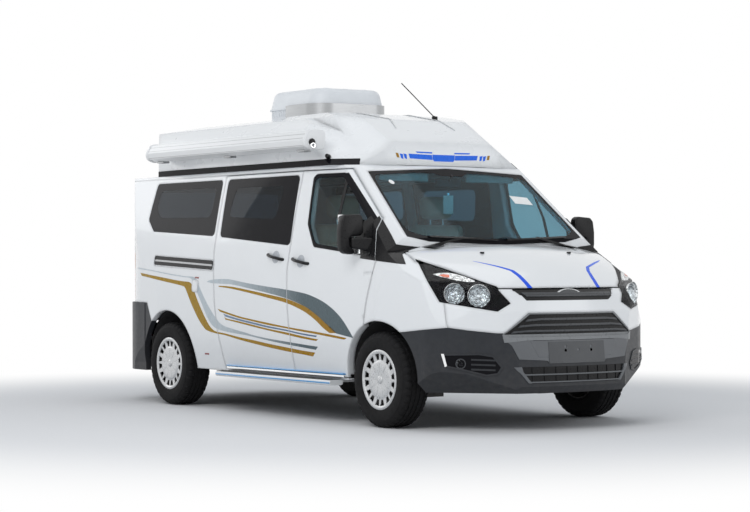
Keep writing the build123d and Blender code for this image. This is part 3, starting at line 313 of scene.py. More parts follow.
# ---- Camera, floor and lights: places in metres, angles in degrees
CAMERA_PLACE = (13.430, -9.144, 1.134)
CAMERA_YAW = 55.598
CAMERA_TILT = 90.127
CAMERA_ROLL = -0.132
CAMERA_LENS = 102.18
SKY_TINT = (0.90, 0.95, 1.0, 1)
SKY_STRENGTH = 0.50
FLOOR_RADIUS = 90
FLOOR_DROP = -0.001
FADE_START = 3.2
FADE_END = 6.5
LIGHT_PANELS = (  # name, place, aim, size, power
    ("key", (5.5, -7.5, 6.5), (0.3, 0, 0.9), (6, 4), 300),
    ("fill", (9.0, 5.5, 4.0), (1.0, 0, 0.9), (5, 5), 90),
    ("top", (-0.5, 0.5, 8.5), (0, 0, 1.0), (7, 5), 80),
    ("rear", (-9.0, -3.0, 4.5), (-1.5, 0, 1.0), (5, 4), 80),
)


def place_camera():
    data = bpy.data.cameras.new("camera")
    data.sensor_width = 36
    data.lens = CAMERA_LENS
    data.clip_end = 300
    camera = bpy.data.objects.new("camera", data)
    turn = Matrix.Rotation(radians(CAMERA_YAW), 4, "Z") @ Matrix.Rotation(radians(CAMERA_TILT), 4, "X")
    roll = Matrix.Rotation(radians(CAMERA_ROLL), 4, "Z")
    camera.matrix_world = Matrix.Translation(CAMERA_PLACE) @ turn @ roll
    bpy.context.collection.objects.link(camera)
    bpy.context.scene.camera = camera


def light_panel(name, place, aim, size, power):
    data = bpy.data.lights.new(name, "AREA")
    data.shape = "RECTANGLE"
    data.size, data.size_y = size
    data.energy = power
    lamp = bpy.data.objects.new(name, data)
    lamp.location = place
    lamp.rotation_euler = (Vector(aim) - Vector(place)).to_track_quat("-Z", "Y").to_euler()
    bpy.context.collection.objects.link(lamp)


def pale_backdrop():
    """White where the camera, glossy and clear surfaces look, and a plain sky for light."""
    world = bpy.data.worlds.new("studio")
    bpy.context.scene.world = world
    world.use_nodes = True
    nodes, links = world.node_tree.nodes, world.node_tree.links
    nodes.clear()
    path = nodes.new("ShaderNodeLightPath")
    seen = nodes.new("ShaderNodeMath")
    seen.operation = "MAXIMUM"
    links.new(path.outputs["Is Camera Ray"], seen.inputs[0])
    links.new(path.outputs["Is Transmission Ray"], seen.inputs[1])
    shown = nodes.new("ShaderNodeMath")
    shown.operation = "MAXIMUM"
    links.new(seen.outputs[0], shown.inputs[0])
    links.new(path.outputs["Is Glossy Ray"], shown.inputs[1])
    white = nodes.new("ShaderNodeBackground")
    white.inputs["Color"].default_value = (1, 1, 1, 1)
    sky = nodes.new("ShaderNodeBackground")
    sky.inputs["Color"].default_value = SKY_TINT
    sky.inputs["Strength"].default_value = SKY_STRENGTH
    mix = nodes.new("ShaderNodeMixShader")
    links.new(shown.outputs[0], mix.inputs[0])
    links.new(sky.outputs[0], mix.inputs[1])
    links.new(white.outputs[0], mix.inputs[2])
    out = nodes.new("ShaderNodeOutputWorld")
    links.new(mix.outputs[0], out.inputs["Surface"])


def pale_floor():
    """A pale floor that turns into the white backdrop a few metres from the van."""
    bpy.ops.mesh.primitive_circle_add(vertices=96, radius=FLOOR_RADIUS, fill_type="NGON",
                                      location=(0, 0, FLOOR_DROP))
    floor = settle(fresh("studio_floor"))
    finish = bpy.data.materials.new("studio_floor")
    finish.use_nodes = True
    nodes, links = finish.node_tree.nodes, finish.node_tree.links
    shader = nodes["Principled BSDF"]
    shader.inputs["Base Color"].default_value = (0.86, 0.86, 0.87, 1)
    shader.inputs["Roughness"].default_value = 0.9
    shader.inputs["Specular IOR Level"].default_value = 0.0
    place = nodes.new("ShaderNodeTexCoord")
    length = nodes.new("ShaderNodeVectorMath")
    length.operation = "LENGTH"
    links.new(place.outputs["Object"], length.inputs[0])
    fade = nodes.new("ShaderNodeMapRange")
    fade.interpolation_type = "SMOOTHSTEP"
    fade.inputs["From Min"].default_value = FADE_START
    fade.inputs["From Max"].default_value = FADE_END
    links.new(length.outputs["Value"], fade.inputs["Value"])
    white = nodes.new("ShaderNodeEmission")
    mix = nodes.new("ShaderNodeMixShader")
    links.new(fade.outputs["Result"], mix.inputs[0])
    links.new(shader.outputs[0], mix.inputs[1])
    links.new(white.outputs[0], mix.inputs[2])
    links.new(mix.outputs[0], nodes["Material Output"].inputs["Surface"])
    floor.data.materials.append(finish)


place_camera()
pale_backdrop()
pale_floor()
for panel in LIGHT_PANELS:
    light_panel(*panel)
scene = bpy.context.scene
scene.view_settings.view_transform = "Standard"


# ---- Finishes
def noise_at(nodes, links, source, scale, detail=4.0, roughness=0.55, stretch=None):
    """A noise on the object's own coordinates, stretched where it has a grain direction."""
    texture = nodes.new("ShaderNodeTexNoise")
    texture.inputs["Scale"].default_value = scale
    texture.inputs["Detail"].default_value = detail
    texture.inputs["Roughness"].default_value = roughness
    if stretch:
        mapping = nodes.new("ShaderNodeMapping")
        mapping.inputs["Scale"].default_value = stretch
        links.new(source, mapping.inputs["Vector"])
        source = mapping.outputs["Vector"]
    links.new(source, texture.inputs["Vector"])
    return texture.outputs["Fac"]


def ranged(nodes, links, value, low, high, start=0.3, end=0.7):
    """Spreads a noise over a range of values."""
    spread = nodes.new("ShaderNodeMapRange")
    spread.inputs["From Min"].default_value = start
    spread.inputs["From Max"].default_value = end
    spread.inputs["To Min"].default_value = low
    spread.inputs["To Max"].default_value = high
    links.new(value, spread.inputs["Value"])
    return spread.outputs["Result"]


def finish(name, colour, rough, metal=0.0, spread=0.04, scale=4.0, rough_spread=0.05, grain=0.0,
           grain_scale=900.0, grain_depth=0.0004, stretch=None, dust=0.0, soft=0.0, **sockets):
    """A finish with mottled colour, uneven gloss, a fine grain and road dust low down."""
    material = bpy.data.materials.new(name)
    material.use_nodes = True
    nodes, links = material.node_tree.nodes, material.node_tree.links
    shader = nodes["Principled BSDF"]
    place = nodes.new("ShaderNodeTexCoord").outputs["Object"]
    clouds = noise_at(nodes, links, place, scale, stretch=stretch)
    mix = nodes.new("ShaderNodeMix")
    mix.data_type = "RGBA"
    mix.inputs["A"].default_value = (*[c * (1 - spread) for c in colour], 1)
    mix.inputs["B"].default_value = (*[min(1, c * (1 + spread)) for c in colour], 1)
    links.new(ranged(nodes, links, clouds, 0, 1), mix.inputs["Factor"])
    tone = mix.outputs["Result"]
    if dust:
        height = nodes.new("ShaderNodeSeparateXYZ")
        links.new(place, height.inputs["Vector"])
        low = ranged(nodes, links, height.outputs["Z"], dust, 0.0, 0.2, 0.75)
        speckle = ranged(nodes, links, noise_at(nodes, links, place, 26.0, 6.0, 0.7), 0.2, 1.0)
        amount = nodes.new("ShaderNodeMath")
        amount.operation = "MULTIPLY"
        links.new(low, amount.inputs[0])
        links.new(speckle, amount.inputs[1])
        dusty = nodes.new("ShaderNodeMix")
        dusty.data_type = "RGBA"
        dusty.inputs["B"].default_value = (0.33, 0.30, 0.26, 1)
        links.new(tone, dusty.inputs["A"])
        links.new(amount.outputs[0], dusty.inputs["Factor"])
        tone = dusty.outputs["Result"]
    links.new(tone, shader.inputs["Base Color"])
    gloss = noise_at(nodes, links, place, scale * 3.1, 3.0, stretch=stretch)
    links.new(ranged(nodes, links, gloss, max(0.0, rough - rough_spread), min(1.0, rough + rough_spread)),
              shader.inputs["Roughness"])
    shader.inputs["Metallic"].default_value = metal
    for socket, value in sockets.items():
        shader.inputs[socket.replace("_", " ")].default_value = value
    if grain:
        bump = nodes.new("ShaderNodeBump")
        bump.inputs["Strength"].default_value = grain
        bump.inputs["Distance"].default_value = grain_depth
        links.new(noise_at(nodes, links, place, grain_scale, 2.0, stretch=stretch), bump.inputs["Height"])
        links.new(bump.outputs["Normal"], shader.inputs["Normal"])
        if soft:
            rolled = nodes.new("ShaderNodeBevel")
            rolled.samples = 6
            rolled.inputs["Radius"].default_value = soft
            links.new(rolled.outputs["Normal"], bump.inputs["Normal"])
    return material


def glass(name, colour, rough=0.01, clear=1.0, index=1.45):
    """Tinted glass with faint smears in its gloss."""
    return finish(name, colour, rough, spread=0.03, scale=1.2, rough_spread=0.008,
                  Transmission_Weight=clear, IOR=index)


PAINT = finish("white_paint", (0.80, 0.82, 0.84), 0.22, spread=0.012, scale=1.4, rough_spread=0.03,
               dust=0.10, grain=0.05, grain_scale=420, grain_depth=0.0003, soft=0.030, Coat_Weight=0.6,
               Coat_Roughness=0.04)
ROOF_SHELL = finish("moulded_roof", (0.80, 0.82, 0.84), 0.30, spread=0.015, scale=2.0, grain=0.08,
                    grain_scale=260, soft=0.110, Coat_Weight=0.6, Coat_Roughness=0.08)
BUMPER = finish("grained_plastic", (0.020, 0.023, 0.029), 0.42, spread=0.10, scale=14, grain=0.5,
                grain_scale=1500, grain_depth=0.0005, dust=0.10, IOR=1.35)
BLACK_PLASTIC = finish("black_plastic", (0.009, 0.009, 0.010), 0.30, spread=0.12, scale=20, grain=0.35,
                       grain_scale=1300, IOR=1.30)
GLOSS_BLACK = finish("gloss_black", (0.006, 0.006, 0.008), 0.08, spread=0.1, scale=6, rough_spread=0.03,
                     IOR=1.16)
RUBBER = finish("black_rubber", (0.018, 0.018, 0.019), 0.75, spread=0.2, scale=35, grain=0.4,
                grain_scale=700, dust=0.10)
TYRE_RUBBER = finish("tyre_rubber", (0.011, 0.011, 0.012), 0.62, spread=0.22, scale=30, grain=0.4,
                     grain_scale=600, dust=0.02, IOR=1.18)
PRIVACY = glass("privacy_glass", (0.07, 0.095, 0.12), clear=0.95, index=1.17)
# Windscreen and door glass: a real tint, deepened as painted shade of the cab interior seen through it.
SCREEN = glass("windscreen_glass", (0.24, 0.50, 0.62), index=1.18)
DOOR_PANE = glass("door_glass", (0.42, 0.50, 0.52), index=1.20)
CLEAR = glass("clear_lens", (0.90, 0.93, 0.95), index=1.18)
RED_LENS = glass("red_lens", (0.55, 0.012, 0.010), 0.04, 0.55)
AMBER_LENS = glass("amber_lens", (0.90, 0.28, 0.02), 0.05, 0.5)
CHROME = finish("chrome", (0.86, 0.87, 0.88), 0.06, metal=1.0, spread=0.02, scale=9, rough_spread=0.03)
COVER_SILVER = finish("cover_silver", (0.60, 0.61, 0.62), 0.30, metal=0.55, spread=0.05, scale=25, dust=0.08,
                      grain=0.12, grain_scale=1800, Coat_Weight=0.5, Coat_Roughness=0.12)
BRUSHED = finish("brushed_steel", (0.40, 0.41, 0.42), 0.32, metal=1.0, spread=0.06, scale=6, grain=0.22,
                 grain_scale=60, stretch=(1, 1, 60))
CASE_ALUMINIUM = finish("case_enamel", (0.74, 0.755, 0.77), 0.34, spread=0.03, scale=3, grain=0.1,
                        grain_scale=600, stretch=(0.2, 1, 1), Coat_Weight=0.4, Coat_Roughness=0.15)
COOLER_SHELL = finish("cooler_plastic", (0.72, 0.745, 0.775), 0.42, spread=0.03, scale=8, grain=0.3,
                      grain_scale=1100)
STEEL = finish("chassis_steel", (0.045, 0.045, 0.048), 0.55, metal=0.3, spread=0.25, scale=18, grain=0.4,
               grain_scale=240, dust=0.25)
ENGINE = finish("cast_metal", (0.20, 0.20, 0.21), 0.5, metal=0.7, spread=0.2, scale=22, grain=0.5,
                grain_scale=260)
EXHAUST = finish("exhaust_steel", (0.30, 0.27, 0.24), 0.4, metal=0.9, spread=0.25, scale=12, grain=0.2,
                 grain_scale=200)
DASH = finish("dash_plastic", (0.150, 0.157, 0.165), 0.6, spread=0.12, scale=12, grain=0.5, grain_scale=1100)
LEATHER = finish("steering_leather", (0.022, 0.022, 0.024), 0.48, spread=0.15, scale=30, grain=0.5,
                 grain_scale=900)
CABINET = finish("cabinet_laminate", (0.56, 0.50, 0.41), 0.35, spread=0.12, scale=5, stretch=(1, 1, 9),
                 grain=0.15, grain_scale=90)
TRIM_CLOTH = finish("lining_cloth", (0.46, 0.43, 0.38), 0.9, spread=0.08, scale=40, grain=0.6,
                    grain_scale=1400, Sheen_Weight=0.3)


def seat_leather():
    """Beige leather with fine pores and a slow change of tone."""
    material = finish("seat_leather", (0.60, 0.52, 0.41), 0.46, spread=0.07, scale=9, rough_spread=0.08,
                      Sheen_Weight=0.1)
    nodes, links = material.node_tree.nodes, material.node_tree.links
    place = next(node for node in nodes if node.type == "TEX_COORD").outputs["Object"]
    pores = nodes.new("ShaderNodeTexVoronoi")
    pores.feature = "DISTANCE_TO_EDGE"
    pores.inputs["Scale"].default_value = 260
    links.new(place, pores.inputs["Vector"])
    bump = nodes.new("ShaderNodeBump")
    bump.inputs["Strength"].default_value = 0.35
    bump.inputs["Distance"].default_value = 0.0006
    links.new(pores.outputs["Distance"], bump.inputs["Height"])
    links.new(bump.outputs["Normal"], nodes["Principled BSDF"].inputs["Normal"])
    return material


SEAT = seat_leather()
NODE_FINISH = {
    "roof_frame": PAINT, "body_side_right": PAINT, "body_side_left": PAINT, "front_wings": PAINT,
    "nose_panel": PAINT, "sliding_door": PAINT, "front_door_right": PAINT, "front_door_left": PAINT,
    "bonnet": PAINT, "tailgate": PAINT,
    "high_roof": ROOF_SHELL, "front_bumper": BUMPER, "rear_bumper": BUMPER, "grilles": BLACK_PLASTIC,
    "headlamps": CLEAR, "tail_lamps": RED_LENS, "side_windows": PRIVACY, "tailgate_glass": PRIVACY,
    "windscreen": SCREEN, "front_door_glass_right": DOOR_PANE, "front_door_glass_left": DOOR_PANE,
    "roof_cooler": COOLER_SHELL, "awning": CASE_ALUMINIUM, "antenna": BLACK_PLASTIC, "floor_pan": STEEL,
    "front_subframe": STEEL, "strut_towers": STEEL, "rear_axle": STEEL, "engine": ENGINE,
    "fuel_tank": BLACK_PLASTIC,
    "exhaust": EXHAUST, "door_hinges": STEEL, "wheel_housings": STEEL, "front_bulkhead": STEEL,
    "side_step": CASE_ALUMINIUM, "mud_flaps": RUBBER, "wipers": BLACK_PLASTIC,
    "dashboard": DASH, "cab_seats": SEAT, "kitchen_unit": CABINET, "rear_bench": SEAT,
    "steering_wheel": LEATHER,
    "mirror_right": BLACK_PLASTIC, "mirror_left": BLACK_PLASTIC, "knuckle_right": STEEL,
    "knuckle_left": STEEL,
}
for name, node in NODES.items():
    material = NODE_FINISH.get(name, TYRE_RUBBER if name.startswith("tyre") else COVER_SILVER)
    if node.data.materials:
        for number in range(len(node.data.materials)):
            node.data.materials[number] = material
    else:
        node.data.materials.append(material)


# ---- Wheels: tyre with ribs and sipes, dark rim, silver cover with sixteen windows
SPIN_STEPS = 160
TYRE_HALF = [(0.192, 0.0890), (0.203, 0.0980), (0.213, 0.0990), (0.216, 0.1020), (0.238, 0.1062),
             (0.262, 0.1072), (0.286, 0.1045), (0.292, 0.1000), (0.303, 0.0985), (0.316, 0.0900),
             (0.3230, 0.0790), (0.3252, 0.0700), (0.3256, 0.0580), (0.3180, 0.0560), (0.3180, 0.0490),
             (0.3258, 0.0470), (0.3259, 0.0220), (0.3180, 0.0200), (0.3180, 0.0140), (0.3259, 0.0120)]
TYRE_PROFILE = TYRE_HALF + [(r, -w) for r, w in TYRE_HALF[::-1]] + [(0.186, -0.080), (0.186, 0.080)]
RIM_PROFILE = [(0.1915, 0.0880), (0.1915, 0.0660), (0.184, 0.0600), (0.172, 0.0450), (0.140, 0.0520),
               (0.090, 0.0500), (0.060, 0.0400), (0.034, 0.0390), (0.034, 0.0300), (0.080, 0.0380),
               (0.165, 0.0340), (0.178, -0.0700), (0.184, -0.0880), (0.1915, -0.0900)]
COVER_PROFILE = [(0.0, 0.1012), (0.014, 0.1005), (0.023, 0.0985), (0.0265, 0.0955), (0.0275, 0.0915),
                 (0.032, 0.0915), (0.070, 0.0945), (0.112, 0.0960), (0.124, 0.0948), (0.131, 0.0905),
                 (0.158, 0.0925), (0.179, 0.0960), (0.184, 0.1010), (0.190, 0.1030), (0.198, 0.1028),
                 (0.2045, 0.0995), (0.2055, 0.0945), (0.199, 0.0900), (0.178, 0.0880), (0.130, 0.0850),
                 (0.0, 0.0850)]
COVER_WINDOWS = 16
WINDOW_INNER = 0.136
WINDOW_OUTER = 0.177
WINDOW_INNER_HALF = 0.0125
WINDOW_OUTER_HALF = 0.0225
WINDOW_LEAN = 0.022
COVER_LINES = 9
LINE_TURN = 0.2
LINE_SINK = 0.0928
COVER_CLEAR = 0.12
SHOULDER_LUG_DEPTH = 0.0075
TREAD_SIPE_DEPTH = 0.0045
TREAD_STEP = 4
WHEEL_BOLTS = 5
BOLT_CIRCLE = 0.055


def wheel_tyre(name, centre):
    tyre = turned(name, TYRE_PROFILE, centre, (0, 1, 0), SPIN_STEPS)
    for vertex in tyre.data.vertices:
        local = vertex.co - Vector(centre)
        radius = hypot(local.x, local.z)
        step = round(atan2(local.z, local.x) / (tau / SPIN_STEPS))
        width = abs(local.y)
        depth = 0.0
        if 0.057 < width < 0.0995 and radius > 0.302 and step % TREAD_STEP == 0:
            depth = SHOULDER_LUG_DEPTH
        if width < 0.048 and radius > 0.32 and step % TREAD_STEP == (2 if local.y > 0 else 0):
            depth = TREAD_SIPE_DEPTH
        if depth:
            scale = (radius - depth) / radius
            vertex.co = Vector(centre) + Vector((local.x * scale, local.y, local.z * scale))
    return smooth(tyre, 28)


def ring_outline(centre_x, centre_z, angle, inner, outer, inner_half, outer_half):
    corners = [(inner, -inner_half), (outer, -outer_half), (outer, outer_half), (inner, inner_half)]
    return [(centre_x + r * cos(angle) - w * sin(angle), centre_z + r * sin(angle) + w * cos(angle))
            for r, w in corners]


def wheel_cover(name, centre, side):
    profile = [(radius, side * offset) for radius, offset in COVER_PROFILE]
    cover = turned(name, profile, centre, (0, 1, 0), 96)
    windows = []
    for number in range(COVER_WINDOWS):
        lean = WINDOW_LEAN if number % 2 else -WINDOW_LEAN
        angle = tau * (number + 0.5) / COVER_WINDOWS + lean
        windows.append(ring_outline(centre[0], centre[2], angle, WINDOW_INNER, WINDOW_OUTER,
                                    WINDOW_INNER_HALF, WINDOW_OUTER_HALF))
    low, high = sorted((centre[1] + side * 0.07, centre[1] + side * COVER_CLEAR))
    cut_with(cover, carried(name + "_windows", windows, "y", low, high), "DIFFERENCE")
    lines = [ring_outline(centre[0], centre[2], tau * number / COVER_LINES + LINE_TURN, 0.040, 0.118,
                          0.0011, 0.0016) for number in range(COVER_LINES)]
    low, high = sorted((centre[1] + side * LINE_SINK, centre[1] + side * COVER_CLEAR))
    cut_with(cover, carried(name + "_lines", lines, "y", low, high), "DIFFERENCE")
    rounded(cover, 0.0009, 2)
    return smooth(cover, 32)


def wheel_bolts(name, centre, side):
    bolts = []
    for number in range(WHEEL_BOLTS):
        angle = tau * number / WHEEL_BOLTS
        x, z = centre[0] + BOLT_CIRCLE * cos(angle), centre[2] + BOLT_CIRCLE * sin(angle)
        bolts.append(rod(f"{name}_{number}", (x, centre[1] + side * 0.038, z),
                         (x, centre[1] + side * 0.058, z), 0.010, 6))
    return joined(name, bolts)


def one_wheel(end, side_name):
    side = SIDES[side_name]
    where = f"{end}_{side_name}"
    body = "wheel_" + where
    centre = (FRONT_AXLE_X if end == "front" else REAR_AXLE_X, side * WHEEL_Y, AXLE_Z)
    tyre = dress(wheel_tyre("tyre_shape_" + where, centre), TYRE_RUBBER, body)
    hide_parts("tyre_" + where)
    rim = turned("rim_shape_" + where, [(r, side * w) for r, w in RIM_PROFILE], centre, (0, 1, 0), 64)
    dress(smooth(rim), STEEL, body)
    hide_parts("wheel_" + where)
    dress(wheel_bolts("wheel_bolts_" + where, centre, side), ENGINE, body)
    dress(wheel_cover("wheel_cover_" + where, centre, side), COVER_SILVER, body)


for end in ("front", "rear"):
    for side_name in SIDES:
        one_wheel(end, side_name)


# ---- Side stripes, as outlines of (x, z)
GOLD_WAVE = ([(-1.892, 1.041), (-1.7, 1.025), (-1.5, 1.007), (-1.3, .988), (-1.162, .978), (-1.062, .973),
              (-1.023, .964), (-.985, .935), (-.946, .881), (-.885, .807), (-.808, .719), (-.731, .642),
              (-.669, .607), (-.608, .595), (-.5, .587), (-.3, .565), (-.085, .547), (.131, .527),
              (.377, .508), (.577, .493), (.743, .484)],
             [(-1.862, 1.016), (-1.7, 1.001), (-1.5, .979), (-1.3, .958), (-1.162, .942), (-1.115, .930),
              (-1.077, .893), (-1.023, .827), (-.962, .758), (-.885, .678), (-.808, .619), (-.762, .601),
              (-.654, .585), (-.5, .573), (-.3, .546), (-.085, .522), (.131, .500), (.377, .479),
              (.577, .465), (.708, .455)])
GREY_WAVE = ([(-1.938, 1.084), (-1.7, 1.065), (-1.5, 1.047), (-1.3, 1.030), (-1.115, 1.016),
              (-.962, 1.008), (-.9, .950), (-.854, .904), (-.777, .827), (-.685, .745), (-.608, .688),
              (-.562, .661), (-.5, .642), (-.346, .619), (-.2, .601), (-.085, .584), (.131, .565),
              (.377, .550), (.577, .538), (.785, .527)],
             [(-1.938, 1.073), (-1.7, 1.058), (-1.5, 1.039), (-1.3, 1.021), (-1.115, 1.008),
              (-1.031, 1.001), (-.985, .965), (-.915, .888), (-.838, .804), (-.777, .727), (-.715, .665),
              (-.654, .630), (-.577, .612), (-.423, .596), (-.2, .582), (-.085, .572), (.131, .550),
              (.377, .530), (.577, .516), (.754, .504)])
GOLD_SWOOSH = ([(-.592, .947), (-.392, .941), (-.085, .912), (.131, .889), (.377, .862), (.577, .823),
                (.685, .794), (.808, .744), (.915, .692), (.992, .657), (1.040, .630)],
               [(-.592, .939), (-.392, .925), (-.085, .891), (.131, .864), (.377, .832), (.577, .787),
                (.685, .752), (.777, .712), (.869, .662), (.949, .628)])
GREY_SWOOSH = ([(-.777, .976), (-.7, .992), (-.5, .999), (-.392, .992), (-.238, .976), (-.085, .962),
                (.131, .945), (.377, .927), (.577, .908), (.685, .893), (.808, .865), (.915, .832),
                (1.023, .784), (1.115, .727), (1.192, .658), (1.246, .601)],
               [(-.7, .965), (-.5, .961), (-.392, .958), (-.085, .924), (.131, .899), (.377, .865),
                (.577, .824), (.685, .793), (.808, .742), (.915, .688), (.992, .645), (1.038, .627)])
ARROW_TOP = ([(-.6, .772), (-.3, .724), (-.085, .701), (.131, .681), (.377, .659), (.577, .645),
              (.777, .632), (.992, .615), (1.162, .599)],
             [(-.562, .750), (-.3, .710), (-.085, .687), (.131, .665), (.377, .647), (.577, .630),
              (.777, .616), (.992, .598), (1.131, .587)])
ARROW_LOW = ([(-.5, .719), (-.469, .701), (-.3, .685), (-.085, .662), (.131, .638), (.377, .618),
              (.577, .598), (.795, .579)],
             [(-.485, .692), (-.3, .672), (-.085, .648), (.131, .625), (.377, .601), (.577, .581),
              (.769, .567)])
BLUE_LINE = ([(-.515, .735), (-.3, .704), (-.085, .681), (.131, .658), (.377, .638), (.577, .618),
              (.785, .605)],
             [(-.485, .715), (-.3, .690), (-.085, .667), (.131, .645), (.377, .627), (.577, .607),
              (.769, .595)])
STRIPE_GROUPS = {
    "gold": [GOLD_WAVE, GOLD_SWOOSH, ARROW_TOP, ARROW_LOW],
    "grey": [GREY_WAVE, GREY_SWOOSH],
    "blue": [BLUE_LINE],
}
SIDE_PANELS = {
    "right": (("body_side_right", "root"), ("sliding_door", "root"), ("front_door_right", "front_door_right"),
              ("front_wings", "root")),
    "left": (("body_side_left", "root"), ("front_door_left", "front_door_left"), ("front_wings", "root")),
}
FILM = 0.0005


def between(a, b, c, d, t):
    """A point on the smooth curve from b to c, with a before them and d after."""
    return 0.5 * (2 * b + (c - a) * t + (2 * a - 5 * b + 4 * c - d) * t * t
                  + (3 * b - a - 3 * c + d) * t ** 3)


def eased(points, steps=3):
    """A smooth line through points."""
    if len(points) < 3:
        return list(points)
    line = []
    for i in range(len(points) - 1):
        p0, p1 = points[max(i - 1, 0)], points[i]
        p2, p3 = points[i + 1], points[min(i + 2, len(points) - 1)]
        for step in range(steps):
            t = step / steps
            line.append(tuple(between(a, b, c, d, t) for a, b, c, d in zip(p0, p1, p2, p3)))
    line.append(points[-1])
    return line


def band(upper, lower):
    """The closed outline between an upper and a lower line."""
    return eased(upper) + eased(lower)[::-1]


def stripe_paint(name, rear_colour, front_colour, rear_x=-0.8, front_x=1.1):
    """Cast film whose colour runs from one tone at the rear to another at the front."""
    material = finish(name, front_colour, 0.28, spread=0.03, scale=6, IOR=1.30)
    nodes, links = material.node_tree.nodes, material.node_tree.links
    place = next(node for node in nodes if node.type == "TEX_COORD").outputs["Object"]
    split = nodes.new("ShaderNodeSeparateXYZ")
    links.new(place, split.inputs["Vector"])
    fade = nodes.new("ShaderNodeMix")
    fade.data_type = "RGBA"
    fade.inputs["A"].default_value = (*rear_colour, 1)
    fade.inputs["B"].default_value = (*front_colour, 1)
    links.new(ranged(nodes, links, split.outputs["X"], 0, 1, rear_x, front_x), fade.inputs["Factor"])
    links.new(fade.outputs["Result"], nodes["Principled BSDF"].inputs["Base Color"])
    return material


STRIPE_FINISH = {
    "gold": stripe_paint("gold_film", (0.35, 0.205, 0.004), (0.33, 0.165, 0.001)),
    "grey": stripe_paint("grey_film", (0.50, 0.56, 0.60), (0.085, 0.12, 0.135), -0.5, 0.6),
    "blue": stripe_paint("blue_grey_film", (0.20, 0.28, 0.40), (0.06, 0.12, 0.24)),
}
for side_name, panels in SIDE_PANELS.items():
    for node_name, body in panels:
        low_corner, high_corner = (Vector(corner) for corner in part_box(node_name))
        for colour, lines in STRIPE_GROUPS.items():
            shapes = [band(upper, lower) for upper, lower in lines]
            shapes = [shape for shape in shapes if max(x for x, z in shape) > low_corner.x + 0.002
                      and min(x for x, z in shape) < high_corner.x - 0.002]
            if not shapes:
                continue
            patch = skin_patch(f"{colour}_stripe_{node_name}_{side_name}", node_name, shapes,
                               (0, SIDES[side_name], 0), FILM)
            if patch:
                dress(patch, STRIPE_FINISH[colour], body)


# ---- Nose: lamps, grille, plate bracket, stripes
REFLECTOR = finish("lamp_reflector", (0.62, 0.64, 0.66), 0.12, metal=1.0, spread=0.55, scale=46, grain=1.0,
                   grain_scale=60, grain_depth=0.012)
RIM_GREY = finish("rim_grey", (0.20, 0.21, 0.22), 0.30, spread=0.05, scale=8, grain=0.2, grain_scale=900)
# Bluish dark grey: dark plastic lifted lighter and bluer as painted highlight, so the bars stand out from the
# black grille. The fog rings, mirror grooves and badge face share it.
BAR_GREY = finish("bar_grey", (0.042, 0.046, 0.052), 0.30, spread=0.06, scale=10, grain=0.2, grain_scale=900)
BAND_GREY = finish("satin_grey_band", (0.115, 0.122, 0.132), 0.34, spread=0.06, scale=10, grain=0.25,
                   grain_scale=900)
BRACKET_GREY = finish("bracket_grey", (0.060, 0.064, 0.070), 0.42, spread=0.06, scale=10, grain=0.2,
                      grain_scale=900)
AMBER_CHIP = finish("amber_bulb", (0.75, 0.10, 0.02), 0.15, spread=0.05, scale=30, Coat_Weight=1.0)
STRIPE_BLUE = stripe_paint("blue_film", (0.010, 0.14, 0.80), (0.004, 0.085, 0.78), 1.9, 2.3)
FRONT = (1, 0, 0)
REFLECTORS = (((2.148, 0.786, 0.916), 0.066), ((2.262, 0.668, 0.902), 0.073))
LAMP_GAZE = Vector((0.90, 0.42, 0.09)).normalized()


def sided(outline, side):
    return [(side * y, z) for y, z in outline]


def reflector(name, centre, gaze, radius):
    """A bright bowl with a rim, sunk in the lamp housing."""
    bowl = [(0.010, -0.052), (0.024, -0.048), (0.042 * radius / 0.06, -0.034),
            (0.055 * radius / 0.06, -0.016), (radius, -0.001), (radius + 0.003, -0.001),
            (radius + 0.003, -0.006), (0.058 * radius / 0.06, -0.022), (0.044 * radius / 0.06, -0.040),
            (0.024, -0.055), (0.010, -0.058)]
    return smooth(turned(name, bowl, centre, gaze, 40))


for side_name, side in SIDES.items():
    housing = solid_copy("headlamps", "lamp_housing_" + side_name)
    keep_low, keep_high = spanned(side, 0.3, 1.2)
    cut_with(housing, brick("lamp_side", (1.5, keep_low, 0.6), (2.6, keep_high, 1.3)), "INTERSECT")
    gaze = Vector((LAMP_GAZE.x, side * LAMP_GAZE.y, LAMP_GAZE.z))
    for number, ((x, y, z), radius) in enumerate(REFLECTORS):
        centre = Vector((x, side * y, z))
        bore = rod("lamp_bore", centre - gaze * 0.062, centre + gaze * 0.08, radius + 0.004, 40)
        cut_with(housing, bore, "DIFFERENCE")
        bowl = reflector(f"lamp_bowl_{number}_{side_name}", centre - gaze * 0.004, gaze, radius)
        dress(bowl, REFLECTOR, "root")
        bulb = rod(f"lamp_bulb_{number}_{side_name}", centre - gaze * 0.056, centre - gaze * 0.024, 0.011,
                   20, 0.008)
        dress(bulb, CHROME, "root")
    dress(smooth(outward(housing), 30), GLOSS_BLACK, "root")
    if side_name == "right":
        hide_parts("headlamps")
    lens_outline = sided([(.40, .70), (1.05, .70), (1.05, 1.25), (.40, 1.25)], side)
    lens = skin_patch("lamp_lens_" + side_name, "headlamps", [lens_outline], FRONT, 0.0015)
    dress(lens, CLEAR, "root")
    turn_outline = sided([(.838, 1.040), (.790, 1.050), (.735, 1.046), (.680, 1.024), (.640, .994),
                          (.690, .990), (.750, 1.000), (.800, 1.018)], side)
    dress(skin_patch("indicator_" + side_name, "headlamps", [eased(turn_outline + turn_outline[:1])[:-1]],
                     FRONT, 0.0035), REFLECTOR, "root")
    chip = sided([(.812, 1.034), (.788, 1.041), (.765, 1.036), (.775, 1.020), (.798, 1.022)], side)
    dress(skin_patch("indicator_bulb_" + side_name, "headlamps", [chip], FRONT, 0.0045), AMBER_CHIP, "root")


BAR_LEVELS = (0.752, 0.713, 0.674)
BAR_HEIGHT = 0.016
BAR_DIP = 0.008
BAR_RAMP = 0.11
BAR_INSET = 0.030


def grille_half(z):
    """Half the width of the grille opening at a height."""
    return 0.361 + (0.787 - z) * 0.180 / 0.137
